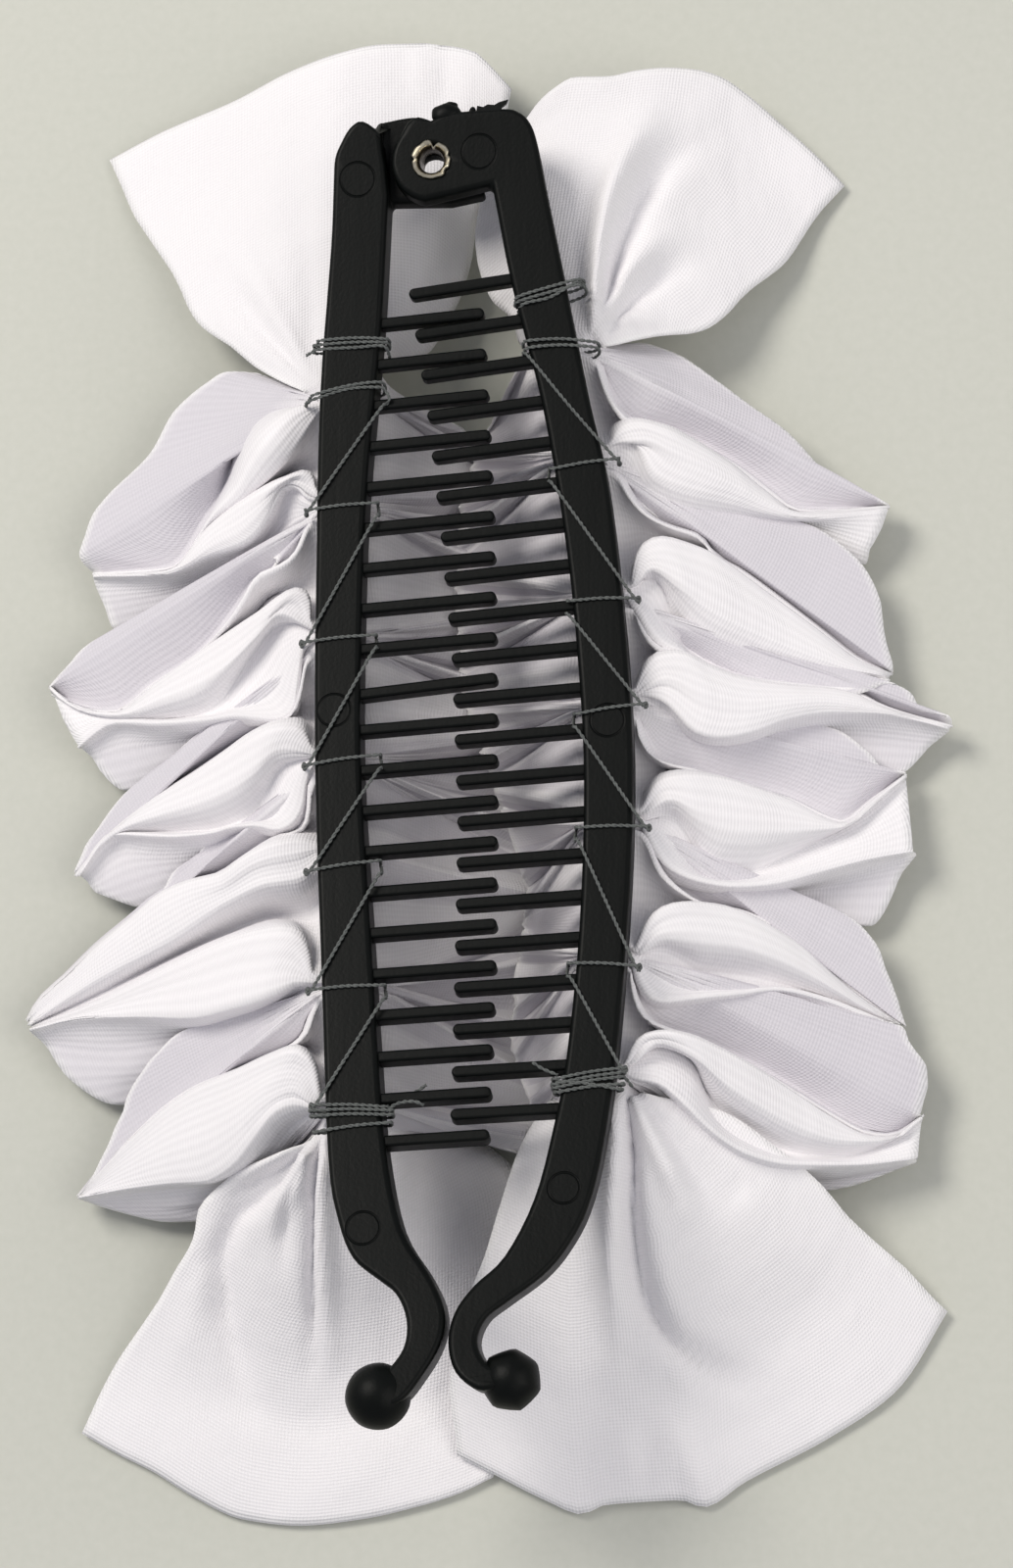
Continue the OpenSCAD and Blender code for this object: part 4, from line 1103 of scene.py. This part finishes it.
    def opening(self, shape, cut_first):
        """The rows of an ear or a flap, which opens like a fan from its last stitch."""
        y, share = shape["stitch"], shape["share"]
        back = bow(y, ARM_DEPTH)
        gate = [shown(Vector((edge_x(self.inner, y), y, back))) + (back,),
                shown(self.root(y)) + (back,)]
        end = np.array(shape["end"], float)
        s = part_along(end[:, :2])
        u = np.concatenate([np.linspace(0, share, IN + 1)[:-1],
                            share + (1 - share) * self.spread])
        cut = curve_through(s, end, u)
        gate_u = np.clip((u - share * 0.75) / (share * 0.5), 0, 1)[:, None]
        pinch = np.array(gate[0]) * (1 - gate_u) + np.array(gate[1]) * gate_u
        sides = []
        for path, first, last in ((shape["inner"], gate[0], end[0]),
                                  (shape["outer"], gate[1], end[-1])):
            line = np.array([first] + path + [tuple(last)], float)
            sides.append((part_along(line[:, :2]), line))
        ramp_in = np.clip(1 - u / share, 0, 1)[:, None] ** 1.6
        ramp_out = np.clip((u - share) / (1 - share), 0, 1)[:, None] ** 1.6
        middle = shape["middle"] + [float(np.interp(share, s, end[:, 2]))]
        rows = []
        for t in np.linspace(0.06, 1, 40):
            flat = pinch * (1 - t) + cut * t
            at = [curve_through(k, line, np.array([t]))[0] for k, line in sides]
            flat = flat + ramp_in * (at[0] - flat[0]) + ramp_out * (at[1] - flat[-1])
            height = float(np.interp(t, np.linspace(0, 1, len(middle)), middle))
            lift = height - float(np.interp(share, u, flat[:, 2]))
            flat[:, 2] += lift * (1 - ramp_in[:, 0]) * (1 - ramp_out[:, 0]) * min(1, 4 * (1 - t))
            rows.append([tuple(seen(*p)) for p in flat])
        if cut_first:
            rows.reverse()
        first = len(self.rows)
        for points in rows:
            self.add(points, 1, 0)
        self.presses.append((first, len(self.rows), shape["press"]))


FOLD_POINTS = 60


def press_folds(grid, low, high, folds):
    """Lifts or sinks the cloth along paths, as the camera sees them. They widen on their way."""
    part = grid[low:high]
    last = FOLD_POINTS - 1
    flat = np.array([[shown(Vector(p)) for p in row] for row in part])
    for height, width, path in folds:
        line = np.array(path, float)
        dense = points_at(line, np.linspace(0, along(line)[-1], FOLD_POINTS))
        gap = np.linalg.norm(flat[:, :, None, :] - dense[None, None], axis=3)
        near = gap.argmin(axis=2)
        fade = np.clip(np.minimum(near / 8, (last - near) / 22), 0, 1)
        wide = width * (0.45 + 0.9 * near / last)
        part[:, :, 2] += height * fade * np.exp(-(gap.min(axis=2) / wide) ** 2)
    grid[low:high] = part


def row_steps(strip, gaps):
    """The steps from each row of a strip to the next, by the widest gap between them."""
    counts = []
    for most, following, gap in zip(strip.steps, strip.steps[1:], gaps.max(axis=1)):
        if most > 1 and following > 1:
            counts.append(min(most, int(gap / 0.45) + 1))
        else:
            counts.append(4 if gap > 3 else 1)
    return counts


def sheet_mesh(name, strip):
    """The mesh of a strip, with its gathers pressed in and a UV map in metres of cloth."""
    rows = np.array(strip.rows)
    gaps = np.linalg.norm(np.diff(rows, axis=0), axis=2)
    s = running(np.maximum(gaps.mean(axis=1), 0.05) ** 0.75)
    steps = row_steps(strip, gaps)
    at = np.concatenate([s[i] + (s[i + 1] - s[i]) * np.arange(n) / n
                         for i, n in enumerate(steps)] + [[s[-1]]])
    first = running(steps)
    grid = curve_through(s, rows.reshape(len(rows), -1), at).reshape(-1, IN + OUT + 1, 3)
    sheer = np.interp(at, s, strip.sheer)
    for _ in range(2):
        inner = grid[1:-1, 1:-1]
        near = (grid[:-2, 1:-1] + grid[2:, 1:-1] + grid[1:-1, :-2] + grid[1:-1, 2:]) / 4
        grid[1:-1, 1:-1] = inner * 0.7 + near * 0.3
    count, columns = grid.shape[:2]
    open_end = np.zeros(count, bool)
    for low, high, folds in strip.presses:
        press_folds(grid, first[low], first[high - 1] + 1, folds)
        open_end[first[low]:first[high - 1] + 1] = True
    # Small gathers that run out from each stitch and fade on their way.
    way = np.concatenate([np.linspace(1, 0, IN), strip.spread])
    fade = np.clip(way / 0.05, 0, 1) * np.exp(-(way / 0.3) ** 2)
    line = np.interp(np.arange(count), first, np.arange(len(rows)))
    gathers = (np.sin(math.tau * line * 0.9) + 0.6 * np.sin(math.tau * line * 1.7 + 1)
               + 0.5 * np.sin(math.tau * line * 0.37 + 2))
    normal = unit(np.cross(np.gradient(grid, axis=0), np.gradient(grid, axis=1)))
    flatter = np.where(open_end, 0.15, 1)
    depth = gathers[:, None] * flatter[:, None] * fade[None, :] * GATHER_DEPTH
    grid += normal * depth[:, :, None]
    # The weave is never quite flat: slow, shallow unevenness all over.
    rng = np.random.default_rng(11 + strip.side)
    slow = np.zeros((count, columns))
    for _ in range(14):
        a, b, c = rng.uniform(-0.16, 0.16), rng.uniform(-0.3, 0.3), rng.uniform(0, 6.3)
        slow += np.sin(a * np.arange(count)[:, None] + b * np.arange(columns)[None, :] + c)
    grid += normal * (slow * UNEVENNESS)[:, :, None]
    # The raw edges waver a little.
    marks = np.arange(0, count + 4, 4)
    waver = np.interp(np.arange(count), marks, rng.normal(0, EDGE_WAVER, len(marks)))
    for edge, beside, depth in ((slice(-4, None), slice(-5, -1), (0.1, 0.3, 0.65, 1)),
                                (slice(0, 4), slice(1, 5), (1, 0.65, 0.3, 0.1))):
        outward = unit(grid[:, edge] - grid[:, beside], 1e-6)
        grid[:, edge] += outward * waver[:, None, None] * np.array(depth)[None, :, None]
    grid[:, :, 2] = np.maximum(grid[:, :, 2], FLOOR_GAP)
    # Each point's place on the flat cloth: across from the arm's edge, and along the strip.
    across = np.linalg.norm(np.diff(grid, axis=1), axis=2)
    across = np.concatenate([np.zeros((count, 1)), np.cumsum(across, axis=1)], axis=1)
    across -= across[:, IN:IN + 1]
    length = running(np.median(np.linalg.norm(np.diff(grid, axis=0), axis=2), axis=1))
    faces = [(i * columns + j, i * columns + j + 1, (i + 1) * columns + j + 1,
              (i + 1) * columns + j) for i in range(count - 1) for j in range(columns - 1)]
    if strip.side > 0:
        faces = [f[::-1] for f in faces]
    piece = mesh_piece(name, grid.reshape(-1, 3), [], faces)
    layer = piece.data.uv_layers.new(name="cloth")
    for loop in piece.data.loops:
        i, j = divmod(loop.vertex_index, columns)
        layer.data[loop.index].uv = (length[i] * MM, (across[i, j] + UV_MARGIN) * MM)
    # Where the cloth is painted darker: by the kind of row outside the arm, and in bands inside it.
    # This is partly the grey below one layer showing through and partly painted shade, in the
    # hollows, under the leaves and under the arm. Where the cut edge is near, for its painted
    # highlight.
    veil_and_shade = sheer[:, None] * np.minimum(1, way * 3)
    banded_veil_and_shade = 0.35 + 0.65 * (np.sin(1.9 * line + 0.8 * np.sin(0.4 * line)) > 0.1)
    # Inside the arm the cloth is painted darker in bands: painted shade under the arm, with the
    # grey below showing through.
    veil_and_shade[~open_end, :IN] = banded_veil_and_shade[~open_end, None]
    rim = np.minimum(np.arange(count), np.arange(count)[::-1])[:, None]
    gap = np.minimum(np.minimum(across[:, -1:] - across, across - across[:, :1]), rim)
    for attribute, values in (("sheer", veil_and_shade), ("cut_edge_highlight", np.maximum(0, 1 - gap / EDGE_HIGHLIGHT_W))):
        layer = piece.data.attributes.new(attribute, "FLOAT", "POINT")
        layer.data.foreach_set("value", values.ravel().tolist())
    wall = piece.modifiers.new("thickness", "SOLIDIFY")
    wall.thickness = CLOTH_T * MM
    wall.offset = 0
    return piece


def ruffle(name, strip, ear, petals, flap):
    """A whole ruffle: its ear, its petals, each with the number of its stitch, and its flap."""
    strip.opening(ear, True)
    for k, shape in petals:
        strip.petal(k, shape)
    strip.opening(flap, False)
    return sheet_mesh(name, strip)


# The fourth petal on the left passes over a stitch.
ruffle_left = ruffle("ruffle_left_cotton", Strip(-1, left_outer, left_inner, left_pinch),
                     left_ear, zip((0, 1, 2, 3, 5), left_petals), left_flap)
ruffle_right = ruffle("ruffle_right_cotton", Strip(1, right_outer, right_inner, right_pinch),
                      right_ear, enumerate(right_petals), right_flap)

cotton, tree, surface = new_material("white_plain_weave_cotton")
# Thin bleached cotton lawn: matt, a little uneven, with a plain weave of about 0.3 mm, drawn at 0.4
# mm to show. One layer is painted darker than the doubled leaves: partly the grey below showing
# through, partly painted shade in the hollows, under the leaves and under the arms. The gaps
# between the yarns are painted a little darker as shade, and the cut edges get a painted highlight.
where = add_node(tree, "ShaderNodeUVMap", uv_map="cloth").outputs["UV"]
warp = add_node(tree, "ShaderNodeTexWave", {"Vector": where, "Scale": 800}, bands_direction="X")
weft = add_node(tree, "ShaderNodeTexWave", {"Vector": where, "Scale": 800}, bands_direction="Y")
weave = add_node(tree, "ShaderNodeMath", {0: warp.outputs["Fac"], 1: weft.outputs["Fac"]},
                 operation="ADD")
creases = add_node(tree, "ShaderNodeTexNoise", {"Vector": where, "Scale": 130, "Detail": 3,
                                                "Roughness": 0.4})
crinkle = add_node(tree, "ShaderNodeBump", {"Height": creases.outputs["Fac"], "Strength": 0.5,
                                            "Distance": MM})
relief = add_node(tree, "ShaderNodeBump", {"Height": weave.outputs["Value"], "Strength": 0.5,
                                           "Distance": 0.06 * MM,
                                           "Normal": crinkle.outputs["Normal"]})
# Where the cloth is one layer it is painted darker: partly see-through, partly painted shade.
sheer = add_node(tree, "ShaderNodeAttribute", attribute_name="sheer").outputs["Fac"]
cut_edge_highlight = add_node(tree, "ShaderNodeAttribute", attribute_name="cut_edge_highlight").outputs["Fac"]
layers_and_shade = add_node(tree, "ShaderNodeMix", {"Factor": sheer, "A": shade("#f7f5f7"),
                                          "B": shade("#dbd8de")}, data_type="RGBA")
# Near the cut edges the cloth is painted lighter: a painted highlight.
edge_highlight = add_node(tree, "ShaderNodeMix", {"Factor": cut_edge_highlight, "A": layers_and_shade.outputs["Result"],
                                         "B": shade("#fdfcfc")}, data_type="RGBA")
# The gaps between the yarns are painted darker: painted shade.
between = add_node(tree, "ShaderNodeMapRange", {"Value": weave.outputs["Value"], "From Max": 2,
                                                "To Min": 0.1, "To Max": 0})
yarns_and_gap_shade = add_node(tree, "ShaderNodeMix", {"Factor": between.outputs["Result"],
                                         "A": edge_highlight.outputs["Result"],
                                         "B": shade("#6f6c74")}, data_type="RGBA")
feed(tree, surface, {"Base Color": yarns_and_gap_shade.outputs["Result"], "Normal": relief.outputs["Normal"],
                     "Roughness": 0.9, "Specular IOR Level": 0.2})
for piece, body, node in ((ruffle_left, "left", "ruffle_left"),
                          (ruffle_right, "right", "ruffle_right")):
    piece.data.materials.append(cotton)
    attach(piece, body)
    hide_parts(node)

# The threads. Each ruffle is whipped to its arm with one dark grey two-ply thread of 0.45 mm: round
# the arm at each stitch, slanting over its face to the next, and wound round it at the end. A point
# is its place across and up, as the camera sees it, and how deep below the face it runs.
THREAD_R = 0.12
PLY_R = 0.1
TWIST_LENGTH = 1.5
RING_GAP = 0.32
RING_SIDES = 6
UNDER = 5.6
left_sewing = [
    [(-19.4, 49.4, 3), (-19.5, 50, 0.6), (-19.2, 50.3, 0), (-15.4, 50.6, 0), (-12, 50.5, 0),
     (-11.5, 50.3, 0.8), (-11.4, 50, 3), (-11.9, 49.6, UNDER), (-16, 49.4, UNDER),
     (-19.4, 49.3, UNDER), (-19.9, 49.6, 3), (-19.5, 49.8, 0.4), (-15.6, 50.1, 0.05),
     (-12.2, 50.1, 0), (-11.5, 49.8, 1), (-11.4, 49.4, 3), (-11.9, 49.2, UNDER),
     (-16, 49, UNDER), (-19.6, 48.8, UNDER), (-19.9, 49.1, 3), (-19.4, 49.3, 0.5),
     (-15.4, 49.5, 0), (-12.2, 49.7, 0), (-11.5, 48.8, 1), (-11.3, 47.8, 3)],
    [(-20.6, 43.2, 3.6), (-20.4, 43.7, 0.9), (-19.8, 44.2, 0.05), (-16, 45.2, 0), (-12.8, 45.6, 0),
     (-12, 45.3, 0.8), (-11.9, 44.6, 3), (-12.4, 44, UNDER), (-16, 43.4, UNDER),
     (-20.4, 42.8, UNDER), (-20.8, 43, 3), (-20.3, 43.5, 0.6), (-16.2, 44.8, 0.1),
     (-12.6, 45, 0), (-11.9, 44.6, 0.5), (-11.4, 43.8, 0.2), (-11.8, 43, 0.8),
     (-12.4, 42.6, 0), (-16.4, 37, 0), (-20.3, 31.4, 0), (-20.9, 30.6, 1.4), (-20.7, 30.4, 4.6)]]
left_knots = [((-20.6, 31.1), (-13.1, 31.9)), ((-20.9, 16.1), (-13.3, 16.9)),
              ((-20.6, 2.2), (-12.8, 3.3)), ((-20.4, -9.8), (-12.8, -8.7)),
              ((-20.2, -23.3), (-12.3, -22.8))]
left_winding = [((-19.8, -36.4), (-12, -36.6)), ((-20, -37), (-11.5, -37)),
                ((-19.9, -37.6), (-11.4, -37.5)), ((-19.6, -39.4), (-11.6, -38.4))]
left_ends = [[(-11.6, -36.9, 0.4), (-10.4, -36.2, -0.3), (-8.6, -36, -0.8), (-7.4, -36.5, -0.4)],
             [(-11.4, -37.2, 3), (-9.4, -35.6, 2), (-7, -34, 1.4)],
             [(-19.5, 49.3, 0.7), (-20.3, 48.9, 0.9), (-20.8, 48.6, 2)]]
right_sewing = [
    [(3, 54, 3), (2.9, 54.9, 0.7), (3.5, 55.4, 0), (6.8, 56.4, 0), (9.8, 57.2, 0),
     (10.6, 57.1, 1.2), (10.6, 56.6, 4), (9.8, 56, UNDER), (6, 55, UNDER), (3.2, 54.2, UNDER),
     (2.9, 54.4, 2), (3.4, 54.8, 0.1), (6.8, 55.8, 0), (9.9, 56.6, 0), (10.8, 56.2, 1.4),
     (10.9, 55.6, 4), (10, 55, UNDER), (6, 53.6, UNDER), (3.6, 52.6, UNDER), (3.2, 52.8, 3),
     (3.7, 54.4, 0.1), (6.8, 55.2, 0.1), (9.8, 56.9, 0), (10.8, 56.4, 2)],
    [(3.8, 49.4, 3), (3.8, 50, 0.6), (4.4, 50.3, 0), (8, 50.5, 0), (11.4, 50.2, 0),
     (12.3, 49.9, 1.4), (12.3, 49.4, 4), (11.4, 49, UNDER), (8, 48.8, UNDER), (4.4, 48.7, UNDER),
     (4, 49, 2), (4.4, 49.5, 0), (8, 49.8, 0), (11.4, 49.6, 0), (12.4, 49.2, 1.6),
     (12.2, 48.6, 4), (11.2, 48.2, UNDER), (7.6, 48, UNDER), (4.6, 48, UNDER), (3.9, 48.4, 3),
     (4.3, 48.6, 0.2), (9, 42.9, 0), (14, 37.2, 0), (14.8, 36.4, 1.4), (14.6, 36.2, 4.6)]]
right_knots = [((14.3, 36.9), (7.2, 35.8)), ((16.4, 21.1), (9.2, 20.8)),
               ((17.2, 9.1), (10, 8)), ((17.6, -4.8), (10.2, -4.9)),
               ((16.5, -20.6), (9.3, -20.3))]
right_winding = [((14.9, -32.2), (7.6, -33.4)), ((14.9, -32.7), (7.5, -34)),
                 ((14.8, -33.2), (7.6, -34.4)), ((14.8, -34), (7.8, -34.9)),
                 ((14.6, -34.6), (8, -33.7))]
right_ends = [[(7.7, -33, 0.6), (6, -32.3, 0.8), (4.6, -31.4, 0.4)],
              [(14.8, -33, 0.5), (15.6, -33.6, 0.8), (16.3, -34.6, 1.6)]]


def round_arm(outside, inside, back_to):
    """Once round an arm: from its outer edge over the face, then under it to the next place."""
    (x0, y0), (x1, y1), (x2, y2) = outside, inside, back_to
    way = 1 if x1 > x0 else -1
    return [(x0 - way * 0.3, y0, 0.8), (x0, y0, 0.03), ((x0 + x1) / 2, (y0 + y1) / 2 + 0.15, 0),
            (x1, y1, 0.03), (x1 + way * 0.4, y1, 0.9), (x1 + way * 0.4, y1 - 0.3, 4),
            (x1 - way * 0.3, y1 - 0.4, UNDER), ((x1 + x2) / 2, (y1 + y2) / 2 - 0.4, UNDER),
            (x2 + way * 0.3, y2 - 0.2, UNDER), (x2 - way * 0.4, y2 - 0.1, 3)]


def sewing(first, knots, winding):
    """The whole run of a thread, from its first stitches to the winding at the end."""
    points = list(first)
    for k, (outside, inside) in enumerate(knots):
        following = knots[k + 1][0] if k + 1 < len(knots) else winding[0][0]
        way = 1 if inside[0] > outside[0] else -1
        points += round_arm(outside, inside, outside)[:6]
        x, y = inside
        points += [(x + way * 0.5, y - 0.9, 3), (x + way * 0.5, y - 1.5, 0.8), (x, y - 1.9, 0),
                   ((x + following[0]) / 2, (y - 1.9 + following[1]) / 2, 0), (*following, 0.02),
                   (following[0] - way * 0.5, following[1] - 0.3, 1.6),
                   (following[0] - way * 0.6, following[1] - 0.2, 4.8),
                   (following[0] - way * 0.5, following[1] + 0.1, 1.6)]
    for k, (outside, inside) in enumerate(winding):
        points += round_arm(outside, inside, winding[min(k + 1, len(winding) - 1)][0])
    return points


def twisted(name, runs):
    """Two plies twisted round each other along each run, as one mesh of closed tubes."""
    n = RING_SIDES
    corners, faces = [], []
    for run in runs:
        # A point's height follows from its place along the arm, so it is found in a few rounds.
        line = []
        for across, up, deep in run:
            spot = seen(across, up, FACE_Z)
            for _ in range(4):
                spot = seen(across, up, bow(spot.y, deep) + THREAD_R + PLY_R)
            line.append(spot)
        line = smooth_line([tuple(p) for p in line], 5)
        at = np.arange(0, along(line)[-1], RING_GAP)
        line = points_at(line, at)
        way = unit(np.gradient(line, axis=0))
        side = np.cross(way[0], (0.3, 0.2, 1))
        sides = []
        for direction in way:
            side = unit(side - direction * side.dot(direction))
            sides.append(side)
        sides = np.array(sides)
        tops = np.cross(way, sides)
        for ply in range(2):
            turn = math.tau * at / TWIST_LENGTH + math.pi * ply
            core = line + PLY_R * (np.cos(turn)[:, None] * sides + np.sin(turn)[:, None] * tops)
            start = len(corners)
            for spot, u, v in zip(core, sides, tops):
                corners += [tuple(spot + THREAD_R * (math.cos(a) * u + math.sin(a) * v))
                            for a in np.arange(n) * math.tau / n]
            last = start + n * (len(core) - 1)
            faces += [(ring + j, ring + (j + 1) % n, ring + n + (j + 1) % n, ring + n + j)
                      for ring in range(start, last, n) for j in range(n)]
            faces += [tuple(range(start + n - 1, start - 1, -1)), tuple(range(last, last + n))]
    piece = mesh_piece(name, corners, [], faces)
    open_mesh(piece)
    close_mesh()
    return piece


spun_grey, tree, surface = new_material("spun_polyester_thread_grey")
# Spun polyester sewing thread, dark grey, matt and a little hairy, lighter on the ply crowns.
where = add_node(tree, "ShaderNodeTexCoord").outputs["Object"]
hairs = add_node(tree, "ShaderNodeTexNoise", {"Vector": where, "Scale": 4000, "Detail": 3})
tint = add_node(tree, "ShaderNodeMix", {"Factor": hairs.outputs["Fac"], "A": shade("#2c2f2f"),
                                        "B": shade("#7c807e")}, data_type="RGBA")
feed(tree, surface, {"Base Color": tint.outputs["Result"], "Roughness": 0.75,
                     "Specular IOR Level": 0.3})
for body, (start, first), knots, winding, ends in (
        ("left", left_sewing, left_knots, left_winding, left_ends),
        ("right", right_sewing, right_knots, right_winding, right_ends)):
    piece = twisted(f"thread_{body}", [start, sewing(first, knots, winding)] + ends)
    piece.data.materials.append(spun_grey)
    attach(piece, body)
